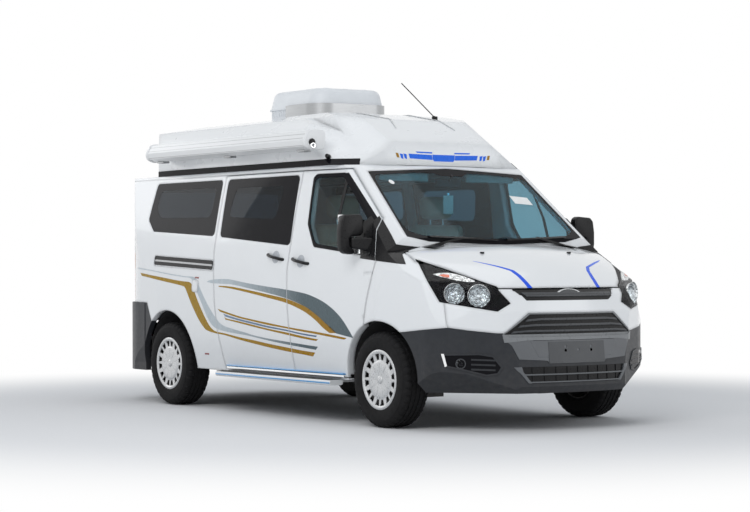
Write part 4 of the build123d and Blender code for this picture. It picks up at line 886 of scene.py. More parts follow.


# The grille bars are dark plastic whose bluish grey is partly painted highlight.
for number, z in enumerate(BAR_LEVELS):
    half = grille_half(z) - BAR_INSET
    low_half = min(grille_half(z - BAR_HEIGHT) - BAR_INSET, 0.515)
    low = z - BAR_HEIGHT
    bar = [(-half, z - BAR_DIP), (-low_half, low - BAR_DIP), (-low_half + BAR_RAMP, low),
           (low_half - BAR_RAMP, low), (low_half, low - BAR_DIP), (half, z - BAR_DIP),
           (half - BAR_RAMP, z), (-half + BAR_RAMP, z)]
    piece = skin_patch(f"grille_bar_{number}", "grilles", [bar], FRONT, 0.014)
    dress(smooth(rounded(piece, 0.004, 3)), BAR_GREY, "root")
slot_low = [(-.398, .912), (-.362, .868), (.342, .868), (.384, .892), (.386, .912)]
dress(skin_patch("slot_lower_lip", "nose_panel", [slot_low], FRONT, 0.0012), BLACK_PLASTIC, "root")
# The slot bar is dark plastic whose bluish grey is partly painted highlight.
slot_bar = [(-.380, .916), (-.358, .892), (.345, .892), (.384, .902), (.380, .916)]
for node_name in ("nose_panel", "grilles"):
    piece = skin_patch("slot_bar_" + node_name, node_name, [slot_bar], FRONT, 0.008)
    if piece:
        dress(smooth(rounded(piece, 0.003, 3)), BAR_GREY, "root")
for number, z in enumerate((0.384, 0.334)):
    half = 0.394 + (z - 0.322) * 0.82 - 0.01
    bar = [(-half, z), (-half + 0.004, z - 0.009), (half - 0.004, z - 0.009), (half, z)]
    piece = skin_patch(f"lower_bar_{number}", "grilles", [bar], FRONT, 0.012)
    dress(smooth(rounded(piece, 0.002, 2)), BAND_GREY, "root")
POST_PLACES = (-0.36, -0.27, -0.18, -0.09, 0.0, 0.09, 0.18, 0.27, 0.36)
posts = [[(y - 0.004, 0.326), (y - 0.004, 0.428), (y + 0.004, 0.428), (y + 0.004, 0.326)]
         for y in POST_PLACES]
dress(skin_patch("lower_posts", "grilles", posts, FRONT, 0.005), BLACK_PLASTIC, "root")
GRILLE_RIM = [(-.372, .790), (-.556, .650), (-.560, .632), (-.500, .618), (.500, .618), (.560, .632),
              (.556, .650), (.372, .790)]
GRILLE_OPENING = [(-.358, .777), (-.538, .648), (-.495, .634), (.495, .634), (.538, .648), (.358, .777)]
dress(skin_patch("grille_rim_grilles", "grilles", [GRILLE_RIM], FRONT, 0.0085, [GRILLE_OPENING]),
      RIM_GREY, "root")
strip = [(-.552, .646), (-.540, .592), (-.392, .606), (.392, .606), (.540, .592), (.552, .646)]
for node_name in ("grilles", "front_bumper"):
    piece = skin_patch("band_top_" + node_name, node_name, [strip], FRONT, 0.0055)
    if piece:
        dress(smooth(rounded(piece, 0.002, 2)), RIM_GREY, "root")
band_outline = [(-.552, .622), (-.500, .575), (-.455, .482), (-.250, .470), (-.235, .452), (.235, .452),
                (.250, .470), (.455, .482), (.500, .575), (.552, .622)]
piece = skin_patch("satin_band", "front_bumper", [band_outline], FRONT, 0.004)
dress(smooth(rounded(piece, 0.0015, 2)), BAND_GREY, "root")
raised = [(-.372, .604), (-.315, .493), (.315, .493), (.372, .604)]
piece = skin_patch("plate_surround", "front_bumper", [raised], FRONT, 0.0055)
dress(smooth(rounded(piece, 0.003, 2)), BAND_GREY, "root")
plate_top, plate_low = 0.594, 0.456
holes = []
for y, z in ((-.105, .560), (-.105, .535), (0.0, .538), (.115, .560), (.115, .535)):
    holes.append([(y + 0.010 * cos(tau * k / 12), z + 0.010 * sin(tau * k / 12)) for k in range(12)])
piece = skin_patch("plate_bracket", "front_bumper", [[(-.238, plate_top), (-.238, plate_low),
                                                      (.238, plate_low), (.238, plate_top)]], FRONT,
                   0.008, holes)
dress(smooth(piece), BRACKET_GREY, "root")
piece = skin_patch("upper_slit", "front_bumper", [[(-.352, .611), (-.345, .600), (.345, .600),
                                                   (.352, .611)]], FRONT, 0.0045)
dress(piece, GLOSS_BLACK, "root")
for side_name, side in SIDES.items():
    frame_outline = sided([(.488, .436), (.398, .322), (.370, .322), (.430, .398), (.440, .436)], side)
    piece = skin_patch(f"lower_frame_{side_name}", "grilles", [frame_outline], FRONT, 0.014)
    dress(smooth(rounded(piece, 0.002, 2)), BAND_GREY, "root")
    recess = [(.868, .520), (.852, .432), (.640, .372), (.572, .383), (.545, .432), (.600, .508),
              (.680, .524)]
    inner = [(.858, .508), (.845, .443), (.640, .384), (.580, .393), (.560, .430), (.606, .497), (.684, .512)]
    piece = skin_patch("fog_recess_" + side_name, "front_bumper", [sided(inner, side)], FRONT, 0.0010)
    dress(piece, GLOSS_BLACK, "root")
    piece = skin_patch("fog_frame_" + side_name, "front_bumper", [sided(recess, side)], FRONT, 0.0065,
                       [sided(inner, side)])
    dress(smooth(rounded(piece, 0.002, 2)), BUMPER, "root")
    for number, (z0, z1) in enumerate(((.412, .424), (.444, .456), (.476, .488))):
        rib = sided([(.725, z0), (.725, z1), (.590, z1 - 0.006), (.590, z0 - 0.006)], side)
        piece = skin_patch(f"fog_rib_{number}_{side_name}", "front_bumper", [rib], FRONT, 0.004)
        dress(smooth(rounded(piece, 0.0015, 2)), BUMPER, "root")
    blade = sided([(.868, .520), (.856, .520), (.842, .440), (.852, .434)], side)
    dress(skin_patch("fog_blade_" + side_name, "front_bumper", [blade], FRONT, 0.010), CHROME, "root")
    centre = Vector((2.199, side * 0.772, 0.455))
    gaze = Vector((0.78, side * 0.62, 0)).normalized()
    ring = [(0.0, 0.004), (0.026, 0.004), (0.028, 0.013), (0.034, 0.013), (0.036, 0.006), (0.036, -0.030),
            (0.0, -0.030)]
    dress(smooth(turned("fog_ring_" + side_name, ring, centre, gaze, 40)), BAR_GREY, "root")
    bowl = [(0.0, 0.0045), (0.010, 0.0050), (0.026, 0.0078), (0.026, 0.0046), (0.0, 0.0041)]
    dress(smooth(turned("fog_bowl_" + side_name, bowl, centre, gaze, 40)), REFLECTOR, "root")
    lens = [(0.0, 0.0135), (0.015, 0.0125), (0.0275, 0.0085), (0.0275, 0.0050), (0.0, 0.0050)]
    dress(smooth(turned("fog_lens_" + side_name, lens, centre, gaze, 40)), CLEAR, "root")

# ---- Bonnet: stripes, washer jets and a bare badge plate
STRIPE_PATHS = {
    "right": [(2.000, -.520, .004), (2.060, -.455, .015), (2.120, -.385, .024), (2.175, -.325, .030),
              (2.230, -.308, .032),
              (2.290, -.300, .032), (2.342, -.296, .036)],
    "left": [(1.935, .650, .005), (2.000, .565, .024), (2.070, .465, .026), (2.130, .372, .030),
             (2.180, .335, .030),
             (2.250, .312, .032), (2.342, .292, .034)],
}
for side_name, path in STRIPE_PATHS.items():
    inner_edge = [(x, y - width / 2) for x, y, width in path]
    outer_edge = [(x, y + width / 2) for x, y, width in path]
    patch = skin_patch("bonnet_stripe_" + side_name, "bonnet", [inner_edge + outer_edge[::-1]], (0, 0, 1),
                       FILM)
    dress(patch, STRIPE_BLUE, "bonnet")
for side_name, side in SIDES.items():
    jet = brick("washer_jet_" + side_name, (1.905, side * 0.38 - 0.011, 1.180),
                (1.932, side * 0.38 + 0.011, 1.193), 0.004)
    dress(jet, BLACK_PLASTIC, "bonnet")
BADGE_PLACE = (2.380, 0, 0.902)
BADGE_GAZE = (1, 0, 0.30)
BADGE_SQUASH = 0.76
BADGE_STRETCH = 1.85


def bare_badge(name, profile):
    """A round plate made wide and low."""
    badge = turned(name, profile, BADGE_PLACE, BADGE_GAZE, 48)
    for vertex in badge.data.vertices:
        vertex.co.z = BADGE_PLACE[2] + (vertex.co.z - BADGE_PLACE[2]) * BADGE_SQUASH
        vertex.co.y *= BADGE_STRETCH
    return smooth(outward(badge))


badge_ring = [(0.0, 0.004), (0.046, 0.004), (0.050, 0.008), (0.056, 0.008), (0.059, 0.003),
              (0.059, -0.010), (0.0, -0.010)]
badge_face = [(0.0, 0.0075), (0.044, 0.0075), (0.046, 0.0055), (0.046, 0.0), (0.0, 0.0)]
dress(bare_badge("badge_plate", badge_ring), BRUSHED, "root")
dress(bare_badge("badge_face", badge_face), BAR_GREY, "root")


# ---- Glass borders and window bars
SCREEN_OUTER = [(.690, 1.766), (.768, 1.298), (.600, 1.264), (0, 1.243)]
SCREEN_RING = SCREEN_OUTER + [(-y, z) for y, z in SCREEN_OUTER[-2::-1]] + [(0, 1.799)]


def fillet_corners(outline, radius, steps=5):
    """Rounds the corners of an outline."""
    result = []
    count = len(outline)
    for i in range(count):
        corner = Vector(outline[i])
        before = Vector(outline[i - 1]) - corner
        after = Vector(outline[(i + 1) % count]) - corner
        reach = min(radius, before.length * 0.45, after.length * 0.45)
        start, end = corner + before.normalized() * reach, corner + after.normalized() * reach
        for step in range(steps + 1):
            t = step / steps
            point = start * (1 - t) ** 2 + corner * 2 * t * (1 - t) + end * t ** 2
            result.append((point.x, point.y))
    return result


def grown(outline, amount):
    """An outline moved outwards by an amount, corner by corner."""
    count = len(outline)
    area = sum(outline[i - 1][0] * outline[i][1] - outline[i][0] * outline[i - 1][1] for i in range(count))
    turn = 1 if area > 0 else -1
    result = []
    for i in range(count):
        here = Vector(outline[i])
        edge_in = (here - Vector(outline[i - 1])).normalized()
        edge_out = (Vector(outline[(i + 1) % count]) - here).normalized()
        normal_in = Vector((edge_in.y, -edge_in.x)) * turn
        normal_out = Vector((edge_out.y, -edge_out.x)) * turn
        middle = (normal_in + normal_out).normalized()
        point = here + middle * (amount / max(0.35, middle.dot(normal_in)))
        result.append((point.x, point.y))
    return result


screen_clear = [(.668, 1.742), (.742, 1.345), (.640, 1.306), (.300, 1.288), (0, 1.284), (-.300, 1.288),
                (-.640, 1.306), (-.742, 1.345), (-.668, 1.742), (-.3, 1.764), (-.14, 1.764),
                (-.10, 1.742), (.10, 1.742), (.14, 1.764), (.3, 1.764)]
border = skin_patch("windscreen_border", "windscreen", [grown(SCREEN_RING, 0.02)], FRONT, 0.0008,
                    [fillet_corners(screen_clear, 0.05)])
dress(border, GLOSS_BLACK, "root")
DOOR_PANE_OUTLINE = [(.568, 1.757), (.578, 1.395), (.690, 1.232), (1.446, 1.160), (1.338, 1.407),
                     (.890, 1.757)]
SLIDER_PANE = [(.386, 1.757), (.372, 1.245), (-.650, 1.318), (-.640, 1.757)]
QUARTER_PANE = [(-.715, 1.757), (-.735, 1.324), (-1.720, 1.372), (-1.830, 1.467), (-1.760, 1.757)]
SLIDER_LIGHT = [(.190, 1.684), (.120, 1.440), (-.560, 1.470), (-.500, 1.690)]
QUARTER_LIGHT = [(-.800, 1.700), (-.838, 1.470), (-1.640, 1.480), (-1.720, 1.560), (-1.690, 1.700)]
DIVIDER = [(.905, 1.757), (.935, 1.757), (1.030, 1.215), (1.000, 1.215)]
SAIL = [(1.300, 1.437), (1.338, 1.407), (1.446, 1.160), (1.190, 1.184), (1.205, 1.250), (1.262, 1.400)]
SAIL_COVER = [(1.340, 1.447), (1.398, 1.400), (1.519, 1.302), (1.612, 1.222), (1.762, 1.110),
              (1.515, 1.132), (1.30, 1.150)]
PANE_FRONT_EDGE = [(1.345, 1.400), (.885, 1.752), (.918, 1.757), (1.372, 1.405)]
for side_name, side in SIDES.items():
    facing = (0, side, 0)
    body = "front_door_" + side_name
    pane = "front_door_glass_" + side_name
    hole = fillet_corners(grown(DOOR_PANE_OUTLINE, -0.026), 0.05)
    dress(skin_patch("door_pane_border_" + side_name, pane, [grown(DOOR_PANE_OUTLINE, 0.02)], facing,
                     0.0035, [hole]), GLOSS_BLACK, body)
    dress(skin_patch("door_pane_bar_" + side_name, pane, [DIVIDER], facing, 0.003), BLACK_PLASTIC, body)
    sail = skin_patch("mirror_sail_" + side_name, pane, [SAIL], facing, 0.010)
    dress(smooth(rounded(sail, 0.003, 2)), BLACK_PLASTIC, body)
    for node_name, rides, lift in (("front_wings", "root", 0.004), ("roof_frame", "root", 0.004),
                                   (body, body, 0.003)):
        patch = skin_patch(f"sail_cover_{node_name}_{side_name}", node_name, [SAIL_COVER], facing, lift,
                           least=0.03)
        if patch:
            dress(patch, BLACK_PLASTIC, rides)
    edge = skin_patch("pane_front_edge_" + side_name, body, [PANE_FRONT_EDGE], facing, 0.0008)
    if edge:
        dress(edge, GLOSS_BLACK, body)
    for tag, outline, light in (("slider", SLIDER_PANE, SLIDER_LIGHT),
                                ("quarter", QUARTER_PANE, QUARTER_LIGHT)):
        ring = skin_patch(f"{tag}_pane_band_{side_name}", "side_windows", [grown(outline, 0.01)], facing,
                          0.0006, [fillet_corners(light, 0.06)])
        dress(ring, GLOSS_BLACK, "root")

# ---- Roof: dark strip, generic front band, awning case, cooler
STRIP_LOW = 1.812
STRIP_HIGH = 1.860
STRIP_JOINT = 0.004
STRIP = [(-1.81, STRIP_LOW), (-1.81, STRIP_HIGH), (.885, STRIP_HIGH), (.925, STRIP_LOW)]
for side_name, side in SIDES.items():
    dress(skin_patch("roof_strip_" + side_name, "high_roof", [STRIP], (0, side, 0), 0.003), GLOSS_BLACK,
          "root")
    dress(skin_patch("roof_strip_joint_" + side_name, "high_roof",
                     [[(x, STRIP_LOW), (x, STRIP_HIGH), (x + STRIP_JOINT, STRIP_HIGH),
                       (x + STRIP_JOINT, STRIP_LOW)] for x in (-0.69, 0.44)], (0, side, 0), 0.0036),
          BLACK_PLASTIC, "root")
chips = {"blue": [], "gold": []}
for side in SIDES.values():
    for y0, y1 in ((.10, .300), (.325, .345), (.357, .377)):
        chips["blue"].append([(side * y0, 1.862), (side * y1, 1.868), (side * (y1 + .012), 1.902),
                              (side * (y0 + .004), 1.898)])
    chips["blue"].append([(side * .10, 1.908), (side * .235, 1.910), (side * .245, 1.920),
                          (side * .10, 1.918)])
    chips["gold"].append([(side * .392, 1.872), (side * .414, 1.874), (side * .424, 1.906),
                          (side * .402, 1.904)])
chips["blue"].append([(-.098, 1.866), (-.085, 1.852), (.085, 1.852), (.098, 1.866), (.100, 1.900),
                      (-.100, 1.900)])
dress(skin_patch("roof_band_blue", "high_roof", chips["blue"], FRONT, 0.001), STRIPE_BLUE, "root")
dress(skin_patch("roof_band_gold", "high_roof", chips["gold"], FRONT, 0.001), STRIPE_FINISH["gold"], "root")
for side_name, side in SIDES.items():
    rib = [[(x, side * y) for x, y in ((-.30, .222), (.62, .222), (.74, .262), (.735, .272), (.62, .236),
                                       (-.30, .236))]]
    patch = skin_patch("roof_rib_" + side_name, "high_roof", rib, (0, 0, 1), 0.006)
    dress(smooth(rounded(patch, 0.002, 2)), ROOF_SHELL, "root")

case_lines = [[(-1.612, z), (.692, z), (.692, z + 0.0035), (-1.612, z + 0.0035)]
              for z in (1.952, 2.004, 2.034)]
dress(skin_patch("awning_lines", "awning", case_lines, (0, -1, 0), 0.0006), BRUSHED, "root")
front_rail = skin_patch("awning_front_rail", "awning", [[(-1.60, 1.957), (.69, 1.957), (.69, 1.999),
                                                         (-1.60, 1.999)]], (0, -1, 0), 0.004)
dress(smooth(rounded(front_rail, 0.0015, 2)), CASE_ALUMINIUM, "root")
for tag, x0, x1 in (("front", .690, .722), ("rear", -1.642, -1.612)):
    profile = [(-.868, 1.930), (-.980, 1.919), (-1.036, 1.942), (-1.049, 1.988), (-1.008, 2.060),
               (-.960, 2.071), (-.868, 2.062)]
    cap = panel_of("awning_cap_" + tag, [(x0, y, z) for y, z in fillet_corners(profile, 0.03)],
                   (x1 - x0, 0, 0))
    dress(smooth(rounded(outward(cap), 0.006, 3)), CASE_ALUMINIUM, "root")
boss = rod("awning_crank_boss", (.718, -.985, 1.978), (.736, -.985, 1.978), 0.024)
eye = turned("awning_crank_eye", [(0.016 + 0.006 * cos(a), 0.006 * sin(a))
                                  for a in [tau * k / 10 for k in range(10)]], (.742, -.985, 1.952),
             (1, 0, 0), 24)
dress(smooth(eye), CHROME, "root")
dress(boss, BLACK_PLASTIC, "root")
for number, x in enumerate((-1.50, -.46, .58)):
    pad = brick(f"awning_foot_{number}", (x - 0.05, -.990, 1.912), (x + 0.05, -.930, 1.928), 0.005)
    dress(pad, BRUSHED, "root")
clearance = rod("clearance_lamp", (.700, -.826, 1.876), (.722, -.858, 1.884), 0.020, 24, 0.014)
dress(clearance, BLACK_PLASTIC, "root")

# ---- Cooler: a band with vents, a lip and a steel guard round its front half
AC_CENTRE = -.590
BAND_LOW = 2.236
BAND_HIGH = 2.3125
VENT_LOW = 2.262
VENT_HIGH = 2.300
VENT_WIDTH = 0.013
VENT_STEP = 0.026


def vent_row(start, count):
    """Upright slots in a row, as outlines of (place along the row, height)."""
    return [[(u, VENT_LOW), (u, VENT_HIGH), (u + VENT_WIDTH, VENT_HIGH), (u + VENT_WIDTH, VENT_LOW)]
            for u in [start + k * VENT_STEP for k in range(count)]]


def round_ring(half_x, half_y, corner):
    """A rectangle with round corners, centred on the cooler."""
    corners = [(AC_CENTRE + sx * (half_x - corner), sy * (half_y - corner), start) for sx, sy, start in
               ((1, 1, 0), (-1, 1, pi / 2), (-1, -1, pi), (1, -1, 3 * pi / 2))]
    return [(cx + corner * cos(start + k * pi / 16), cy + corner * sin(start + k * pi / 16))
            for cx, cy, start in corners for k in range(9)]


def cooler_shell(name, size, inner_size, low, high):
    """An upright band round the cooler."""
    shell = panel_of(name, [(x, y, low) for x, y in round_ring(*size)], (0, 0, high - low))
    core = panel_of("cooler_core", [(x, y, low - 0.02) for x, y in round_ring(*inner_size)],
                    (0, 0, high - low + 0.04))
    return cut_with(shell, core, "DIFFERENCE")


band_piece = cooler_shell("cooler_band", (.3825, .3325, .142), (.3690, .3190, .130), BAND_LOW, BAND_HIGH)
cut_with(band_piece, carried("cooler_vents", vent_row(AC_CENTRE - .30, 9), "y", -.40, -.30), "DIFFERENCE")
cut_with(band_piece, carried("cooler_vents_front", vent_row(-.16, 13), "x", AC_CENTRE + .33,
                             AC_CENTRE + .42), "DIFFERENCE")
dress(smooth(outward(band_piece), 30), COOLER_SHELL, "root")
lip = cooler_shell("cooler_lip", (.3960, .3460, .156), (.3750, .3250, .138), BAND_HIGH, 2.3240)
dress(smooth(outward(lip), 30), COOLER_SHELL, "root")
guard = cooler_shell("cooler_guard", (.4000, .3500, .160), (.3972, .3472, .157), 2.238, 2.342)
cut_with(guard, brick("guard_part", (AC_CENTRE - .05, -.5, 2.2), (AC_CENTRE + .5, .5, 2.4)), "INTERSECT")
dress(smooth(outward(guard), 30), BRUSHED, "root")
for number, y in enumerate((-.17, 0, .17)):
    rear, front = AC_CENTRE - .27, AC_CENTRE + .27
    outline = [(rear, y - 0.022), (front, y - 0.022), (front, y + 0.022), (rear, y + 0.022)]
    ridge = skin_patch(f"cooler_ridge_{number}", "roof_cooler", [outline], (0, 0, 1), 0.006)
    dress(smooth(rounded(ridge, 0.003, 2)), COOLER_SHELL, "root")
stub = rod("antenna_stub", (.440, .300, 2.190), (.425, .300, 2.222), 0.021, 24, 0.012)
dress(stub, BLACK_PLASTIC, "root")

# ---- Side fittings: handles, rail slot, socket flap, markers, sill and step strips
RED_CHIP = finish("red_marker", (0.22, 0.006, 0.010), 0.2, spread=0.05, scale=40, Coat_Weight=1.0)
# Steel trim coloured blue: painted reflection of the sky on the sill and the step edge.
SILL_SKY_REFLECTION = finish("sill_steel_painted_sky_reflection", (0.10, 0.32, 0.62), 0.2, metal=0.6, spread=0.05, scale=4, Coat_Weight=0.6)
# Bluish grey for the handle cups: painted shade of the recess in the white paint.
CUP_PAINTED_SHADE = finish("handle_cup_painted_shade", (0.42, 0.45, 0.49), 0.3, spread=0.1, scale=60, Coat_Weight=0.5)


def handle(name, x0, x1, z0, z1, side, node, body, face):
    """A black pull bar in front of a round cup, a flat disc on a door's skin painted bluish grey as the shade
    of its recess.
    """
    middle = (x0 + x1) / 2
    height = (z0 + z1) / 2
    cup = [(middle + 0.050 * cos(tau * k / 28), height + 0.046 * sin(tau * k / 28)) for k in range(28)]
    # The cup is a flat film whose bluish grey is painted shade, not a modelled recess.
    patch = skin_patch(name + "_cup", node, [cup], (0, side, 0), 0.0008)
    dress(patch, CUP_PAINTED_SHADE, body)
    outer = face + 0.034
    points = [(x0, face - 0.004, z1), (x0 + 0.02, face + 0.020, z1 - 0.002),
              (x0 + 0.06, outer - 0.006, height + 0.008), (middle, outer, height),
              (x1 - 0.06, outer - 0.006, height - 0.008), (x1 - 0.02, face + 0.020, z0 + 0.002),
              (x1, face - 0.004, z0)]
    bar = tube(name + "_bar", [(x, side * y, z) for x, y, z in points], 0.0115)
    dress(bar, BLACK_PLASTIC, body)


handle("door_handle_right", .430, .650, 1.113, 1.150, -1, "front_door_right", "front_door_right", .962)
handle("door_handle_left", .430, .650, 1.113, 1.150, 1, "front_door_left", "front_door_left", .962)
handle("slider_handle", .085, .305, 1.143, 1.182, -1, "sliding_door", "root", .957)
SLOT = [(-1.640, 1.178), (-.700, 1.137), (-.700, 1.066), (-1.640, 1.106)]
SLOT_FRAME = grown(SLOT, 0.010)
dress(skin_patch("rail_slot", "body_side_right", [fillet_corners(SLOT, 0.02)], (0, -1, 0), 0.0006),
      BLACK_PLASTIC, "root")
frame_piece = skin_patch("rail_frame", "body_side_right", [fillet_corners(SLOT_FRAME, 0.03)], (0, -1, 0),
                         0.005, [fillet_corners(SLOT, 0.02)])
dress(smooth(rounded(frame_piece, 0.002, 2)), PAINT, "root")
rail = [(-1.625, 1.148), (-.712, 1.108), (-.712, 1.094), (-1.625, 1.134)]
dress(skin_patch("slider_rail", "body_side_right", [rail], (0, -1, 0), 0.006), BRUSHED, "root")
FLAP = [(-.991, .990), (-.991, .896), (-.901, .892), (-.901, .986)]
flap_ring = skin_patch("socket_flap", "body_side_right", [fillet_corners(FLAP, 0.03)], (0, -1, 0), 0.009)
dress(smooth(rounded(flap_ring, 0.004, 3)), PAINT, "root")
dress(skin_patch("red_marker_rear", "body_side_right", [[(-.960, 1.013), (-.960, 1.001), (-.903, .999),
                                                         (-.903, 1.011)]], (0, -1, 0), 0.003), RED_CHIP,
      "root")
dress(skin_patch("red_marker_low", "body_side_right", [[(-.835, .428), (-.835, .416), (-.775, .416),
                                                        (-.775, .428)]], (0, -1, 0), 0.003), RED_CHIP,
      "root")
sill = brick("sill_strip", (-.50, -.968, .318), (1.10, -.944, .340), 0.004)
dress(sill, CHROME, "root")
# Upper face of the sill strip, coloured blue as painted sky reflection on the steel.
sill = brick("sill_strip_painted_reflection", (-.50, -.972, .341), (1.10, -.946, .352), 0.003)
dress(sill, SILL_SKY_REFLECTION, "root")
dress(brick("step_tread", (-.515, -1.048, .3050), (1.055, -.962, .3085), 0.001), RUBBER, "root")
# The step's steel edge, coloured blue as painted sky reflection.
dress(brick("step_edge_strip", (-.515, -1.0572, .280), (1.055, -1.0535, .290), 0.0008), SILL_SKY_REFLECTION, "root")

# ---- Mirrors
MIRROR_SHAPE = [(1.098, 1.448), (.985, 1.456), (.962, 1.446), (.952, 1.425), (.948, 1.330), (.968, 1.306),
                (1.045, 1.302), (1.066, 1.284), (1.064, 1.242), (1.036, 1.214), (1.018, 1.192),
                (1.040, 1.176), (1.096, 1.182), (1.124, 1.205), (1.134, 1.250), (1.132, 1.340),
                (1.122, 1.420)]
for side_name, side in SIDES.items():
    body = "front_door_" + side_name
    outer, inner = (1.134, .968) if side < 0 else (1.118, .975)
    low_y, high_y = spanned(side, inner, outer)
    shape = [(outer if abs(y) > 1.13 else abs(y) + (outer - 1.134), z) for y, z in MIRROR_SHAPE]
    head = panel_of("mirror_head_" + side_name, [(1.262, side * y, z) for y, z in shape], (.068, 0, 0))
    outward(head)
    rounded(head, 0.014, 4)
    dress(smooth(head, 40), BLACK_PLASTIC, body)
    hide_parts("mirror_" + side_name)
    pane = brick("mirror_pane_" + side_name, (1.2595, low_y + 0.016, 1.256),
                 (1.2635, high_y - 0.016, 1.450), 0.0012)
    dress(pane, CHROME, body)
    near, far = spanned(side, .925, 1.052)
    arm = brick("mirror_arm_" + side_name, (1.268, near, 1.222), (1.330, far, 1.296))
    for vertex in arm.data.vertices:
        if abs(vertex.co.y) < 0.98:
            vertex.co.x += 0.075
            vertex.co.z = 1.244 + (vertex.co.z - 1.259) * 1.25
    rounded(arm, 0.012, 3)
    dress(smooth(arm, 40), BLACK_PLASTIC, body)
    near, far = spanned(side, .960, 1.030)
    groove = brick("mirror_groove_" + side_name, (1.330, near, 1.250), (1.3365, far, 1.262), 0.002)
    dress(groove, BAR_GREY, body)
    near, far = spanned(side, .984, 1.010)
    lamp = brick("mirror_lamp_" + side_name, (1.300, near, 1.182), (1.338, far, 1.222), 0.008)
    dress(lamp, CLEAR, body)
    near, far = spanned(side, .952, 1.004)
    stem = brick("mirror_lamp_stem_" + side_name, (1.306, near, 1.216), (1.332, far, 1.246), 0.006)
    dress(stem, BLACK_PLASTIC, body)


# ---- Cab and living space: upholstery, mirror, controls
PIPING = finish("seat_piping", (0.30, 0.25, 0.19), 0.5, spread=0.1, scale=40)
PAPER_TAG = finish("hanging_tag", (0.92, 0.74, 0.66), 0.5, spread=0.05, scale=30)
STONE = finish("worktop_stone", (0.42, 0.41, 0.39), 0.30, spread=0.25, scale=60)
LABEL_WHITE = finish("blank_label", (0.85, 0.86, 0.86), 0.4, spread=0.03, scale=20)


CUSHION_CUTS = 34
GROOVE_DEPTH = 0.014
GROOVE_WIDTH = 0.008
PIPING_INSET = 0.085


def inflate(piece, cap=0.012, cell=0.010, frames=20):
    """Swells a pad as stuffed cloth does, with each point's travel capped."""
    remesh = piece.modifiers.new("even", "REMESH")
    remesh.mode = "VOXEL"
    remesh.voxel_size = cell
    bake_modifiers(piece)
    rest = [vertex.co.copy() for vertex in piece.data.vertices]
    cloth = piece.modifiers.new("stuffing", "CLOTH")
    cloth.settings.quality = 4
    cloth.settings.use_pressure = True
    cloth.settings.uniform_pressure_force = 4
    cloth.settings.effector_weights.gravity = 0
    cloth.point_cache.frame_end = frames
    for number in range(1, frames + 1):
        scene.frame_set(number)
    bake_modifiers(piece)
    for vertex, start in zip(piece.data.vertices, rest):
        step = vertex.co - start
        if step.length > cap:
            vertex.co = start + step.normalized() * cap
    scene.frame_set(1)
    finer = piece.modifiers.new("finer", "SUBSURF")
    finer.levels = 1
    return bake_modifiers(piece)


def cushion(name, low, high, radius, crown, seams=(), lean=0.0, pivot=None, face="z", stuffed=False):
    """A stuffed pad: rounded sides, a crowned face with sewn grooves, leaned about a line across the van."""
    size = [b - a for a, b in zip(low, high)]
    centre = Vector([(a + b) / 2 for a, b in zip(low, high)])
    bpy.ops.mesh.primitive_cube_add(size=1, location=centre, scale=size)
    piece = settle(fresh(name))
    only(piece)
    bpy.ops.object.mode_set(mode="EDIT")
    bpy.ops.mesh.select_all(action="SELECT")
    bpy.ops.mesh.subdivide(number_cuts=CUSHION_CUTS)
    bpy.ops.object.mode_set(mode="OBJECT")
    half = Vector(size) / 2
    axis = 2 if face == "z" else 0
    across, along = [i for i in range(3) if i != axis]
    for vertex in piece.data.vertices:
        local = vertex.co - centre
        core = Vector([max(-(half[i] - radius), min(half[i] - radius, local[i])) for i in range(3)])
        out = local - core
        if out.length > 1e-6:
            local = core + out.normalized() * radius
        if local[axis] > half[axis] - radius * 1.01:
            side_fall = 1 - (local[across] / half[across]) ** 4
            end_fall = 1 - (local[along] / half[along]) ** 4
            local[axis] += crown * side_fall * end_fall
        vertex.co = centre + local
    if stuffed:
        inflate(piece)
    for vertex in piece.data.vertices:
        local = vertex.co - centre
        if local[axis] < half[axis] * 0.3:
            continue
        side_fall = 1 - min(1, abs(local[across]) / half[across]) ** 6
        end_fall = 1 - min(1, abs(local[along]) / half[along]) ** 6
        edge = side_fall * end_fall
        for direction, place in seams:
            distance = local[across if direction == "a" else along] - place
            local[axis] -= GROOVE_DEPTH * exp(-(distance / GROOVE_WIDTH) ** 2) * edge
        vertex.co = centre + local
    if lean:
        turn = Matrix.Rotation(lean, 4, "Y")
        hinge = Vector(pivot)
        for vertex in piece.data.vertices:
            vertex.co = hinge + turn @ (vertex.co - hinge)
    return smooth(outward(piece), 60)


def upholstered(name, body, *shape, **options):
    piece = cushion(name, *shape, stuffed=True, **options)
    dress(piece, SEAT, body)
    return piece


for tag, y, width in (("driver", .440, .480), ("mate", -.410, .540)):
    half = width / 2
    seat = upholstered(f"{tag}_seat_cushion", "root", (.355, y - half, .700), (.865, y + half, .842),
                       0.045, 0.016, seams=(("b", -half + PIPING_INSET), ("b", half - PIPING_INSET),
                                            ("a", 0.05)))
    if tag == "driver":
        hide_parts("cab_seats")
    upholstered(f"{tag}_seat_back", "root", (.300, y - half, .805), (.415, y + half, 1.420), 0.045, 0.018,
                seams=(("a", -half + PIPING_INSET), ("a", half - PIPING_INSET), ("b", 0.14)), lean=-0.165,
                pivot=(.355, y, .80), face="x")
    upholstered(f"{tag}_headrest", "root", (.215, y - .135, 1.452), (.312, y + .135, 1.618), 0.040, 0.010,
                lean=-0.10, pivot=(.26, y, 1.45), face="x")
    for number, offset in enumerate((-.06, .06)):
        post = rod(f"{tag}_headrest_post_{number}", (.272, y + offset, 1.375), (.262, y + offset, 1.470),
                   0.006, 16)
        dress(post, CHROME, "root")
    base = brick(f"{tag}_seat_base", (.370, y - .175, .530), (.775, y + .175, .708), 0.02)
    dress(base, DASH, "root")
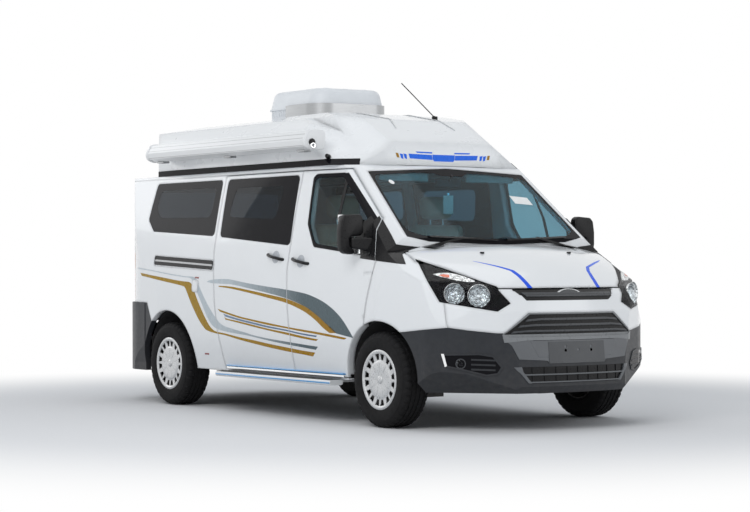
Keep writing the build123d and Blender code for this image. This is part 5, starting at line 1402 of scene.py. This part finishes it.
for number, (y0, y1) in enumerate(((-.850, -.335), (-.325, .190))):
    pad = upholstered(f"bench_cushion_{number}", "root", (-1.150, y0, .772), (-.565, y1, .905), 0.045, 0.018,
                      seams=(("b", -.13), ("b", .13)))
    if number == 0:
        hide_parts("rear_bench")
    upholstered(f"bench_back_{number}", "root", (-1.262, y0, .880), (-1.140, y1, 1.420), 0.045, 0.018,
                seams=(("a", -.13), ("a", .13)), lean=-0.06, pivot=(-1.2, y0, .88), face="x")
dress(brick("bench_box", (-1.100, -.800, .530), (-.580, .180, .780), 0.012), CABINET, "root")
dress(brick("bench_box_line", (-.5815, -.332, .54), (-.5785, -.328, .77), 0.0008), PIPING, "root")

# ---- Dashboard details
hood = cushion("instrument_hood", (1.135, .255, 1.130), (1.300, .585, 1.215), 0.035, 0.012)
dress(hood, DASH, "root")
dress(brick("instrument_glass", (1.128, .285, 1.140), (1.140, .555, 1.192), 0.004), GLOSS_BLACK, "root")
dress(brick("centre_screen", (1.146, -.110, 1.020), (1.166, .110, 1.150), 0.008), GLOSS_BLACK, "root")
for number, y in enumerate((-.68, -.18, .18, .70)):
    dress(brick(f"air_vent_{number}", (1.148, y - .055, 1.085), (1.168, y + .055, 1.140), 0.010),
          BLACK_PLASTIC, "root")
dress(brick("glove_lid", (1.166, -.600, .860), (1.186, -.200, 1.010), 0.012), DASH, "root")
dress(brick("dash_top_tray", (1.240, -.600, 1.172), (1.440, -.200, 1.186), 0.006), BLACK_PLASTIC, "root")
dress(rod("gear_lever", (1.165, .060, .905), (1.105, .060, 1.010), 0.010), CHROME, "root")
dress(rod("gear_knob", (1.110, .060, 1.000), (1.098, .060, 1.050), 0.021, 24, 0.024), LEATHER, "root")
rear_view = cushion("rear_view_mirror", (1.000, -.115, 1.655), (1.028, .115, 1.722), 0.013, 0.002)
dress(rear_view, BLACK_PLASTIC, "root")
dress(rod("rear_view_stalk", (1.020, 0, 1.700), (1.062, 0, 1.748), 0.009), BLACK_PLASTIC, "root")
cord_piece = tube("tag_cord", [(1.015, .0, 1.656), (1.017, .002, 1.640), (1.015, .001, 1.622),
                               (1.016, .0, 1.600)], 0.0016)
dress(cord_piece, BLACK_PLASTIC, "root")
tag_card = brick("hanging_tag", (1.014, -.036, 1.470), (1.018, .036, 1.602), 0.0015)
tag_turn = Matrix.Rotation(radians(-32), 4, "Z")
tag_line = Vector((1.016, 0, 0))
for vertex in tag_card.data.vertices:
    vertex.co = tag_line + tag_turn @ (vertex.co - tag_line)
dress(smooth(outward(tag_card)), PAPER_TAG, "root")
dress(brick("hanging_tag_top", (1.0125, -.010, 1.598), (1.0195, .010, 1.622), 0.003), CHROME, "root")
for side in SIDES.values():
    low_y, high_y = spanned(side, .17, .60)
    visor = cushion(f"sun_visor_{side}", (.995, low_y, 1.700), (1.010, high_y, 1.765), 0.007, 0.001)
    dress(visor, TRIM_CLOTH, "root")


# ---- Paper and labels behind the screen, blank
labels = [[(.395, 1.545), (.395, 1.602), (.555, 1.590), (.555, 1.535)],
          [(-.560 + .020 * cos(tau * k / 20), 1.690 + .016 * sin(tau * k / 20)) for k in range(20)]]
dress(skin_patch("blank_labels", "windscreen", labels, FRONT, 0.0012), LABEL_WHITE, "root")
for number, (x, y, turn) in enumerate(((1.300, -.420, .3), (1.330, -.520, -.2))):
    lift = number * .002
    sheet = brick(f"paper_sheet_{number}", (x - .075, y - .11, 1.190 + lift),
                  (x + .075, y + .11, 1.1915 + lift), 0.0006)
    centre = Vector((x, y, 0))
    spin = Matrix.Rotation(turn, 4, "Z")
    for vertex in sheet.data.vertices:
        vertex.co = centre + spin @ (vertex.co - centre)
    dress(smooth(outward(sheet)), LABEL_WHITE, "root")

REAR = (-1, 0, 0)


# ---- Tail: lamp cells, reflectors, blank plate and grip
def boxed(y0, z0, y1, z1, corner):
    """A rectangle of (y, z) with round corners."""
    return fillet_corners([(y0, z0), (y1, z0), (y1, z1), (y0, z1)], corner)


for side_name, side in SIDES.items():
    for number, (z0, z1, material) in enumerate(((1.210, 1.330, REFLECTOR), (1.080, 1.200, AMBER_LENS))):
        cell = skin_patch(f"tail_cell_{number}_{side_name}", "tail_lamps",
                          [sided([(.70, z0), (1.05, z0), (1.05, z1), (.70, z1)], side)], REAR, 0.0008)
        if cell:
            dress(cell, material, "root")
    strip = skin_patch("rear_reflector_" + side_name, "rear_bumper",
                       [sided([(.62, .560), (.78, .560), (.78, .592), (.62, .592)], side)], REAR, 0.003)
    if strip:
        dress(smooth(rounded(strip, 0.001, 2)), RED_CHIP, "root")
plate = skin_patch("rear_plate_place", "tailgate", [boxed(-.290, .905, .290, 1.040, 0.02)], REAR, 0.0012)
dress(plate, BLACK_PLASTIC, "tailgate")
plate = skin_patch("rear_plate_blank", "tailgate", [boxed(-.240, .920, .240, 1.025, 0.01)], REAR, 0.004)
dress(smooth(rounded(plate, 0.001, 2)), LABEL_WHITE, "tailgate")
grip = skin_patch("tailgate_grip", "tailgate", [boxed(-.200, 1.060, .200, 1.095, 0.012)], REAR, 0.012)
dress(smooth(rounded(grip, 0.004, 3)), GLOSS_BLACK, "tailgate")

# ---- Kitchen: doors, drawer fronts, worktop, sink and tap
dress(brick("worktop", (-1.960, .268, 1.176), (-.690, .862, 1.200), 0.006), STONE, "root")
for number, (x0, x1, z0, z1) in enumerate(((-1.930, -1.530, .570, 1.150), (-1.515, -1.115, .570, 1.150),
                                           (-1.100, -.715, .570, .840), (-1.100, -.715, .855, 1.150))):
    door = brick(f"kitchen_door_{number}", (x0, .262, z0), (x1, .281, z1), 0.004)
    dress(door, CABINET, "root")
    middle, height = (x0 + x1) / 2, z1 - .045
    pull = rod(f"kitchen_pull_{number}", (middle - .05, .254, height), (middle + .05, .254, height),
               0.006, 16)
    dress(pull, BRUSHED, "root")
basin = turned("sink_bowl", [(0.0, 0.003), (0.150, 0.003), (0.165, 0.028), (0.190, 0.030), (0.190, 0.026),
                             (0.170, 0.022), (0.156, -0.002), (0.0, -0.004)], (-1.700, .560, 1.176),
               (0, 0, 1), 48)
dress(smooth(basin), BRUSHED, "root")
tap = tube("sink_tap", [(-1.700, .800, 1.190), (-1.700, .800, 1.330), (-1.700, .790, 1.400),
                        (-1.700, .720, 1.410), (-1.700, .680, 1.385), (-1.700, .675, 1.350)], 0.010)
dress(tap, CHROME, "root")
hob = brick("hob_glass", (-1.200, .330, 1.199), (-.760, .790, 1.207), 0.003)
dress(hob, GLOSS_BLACK, "root")
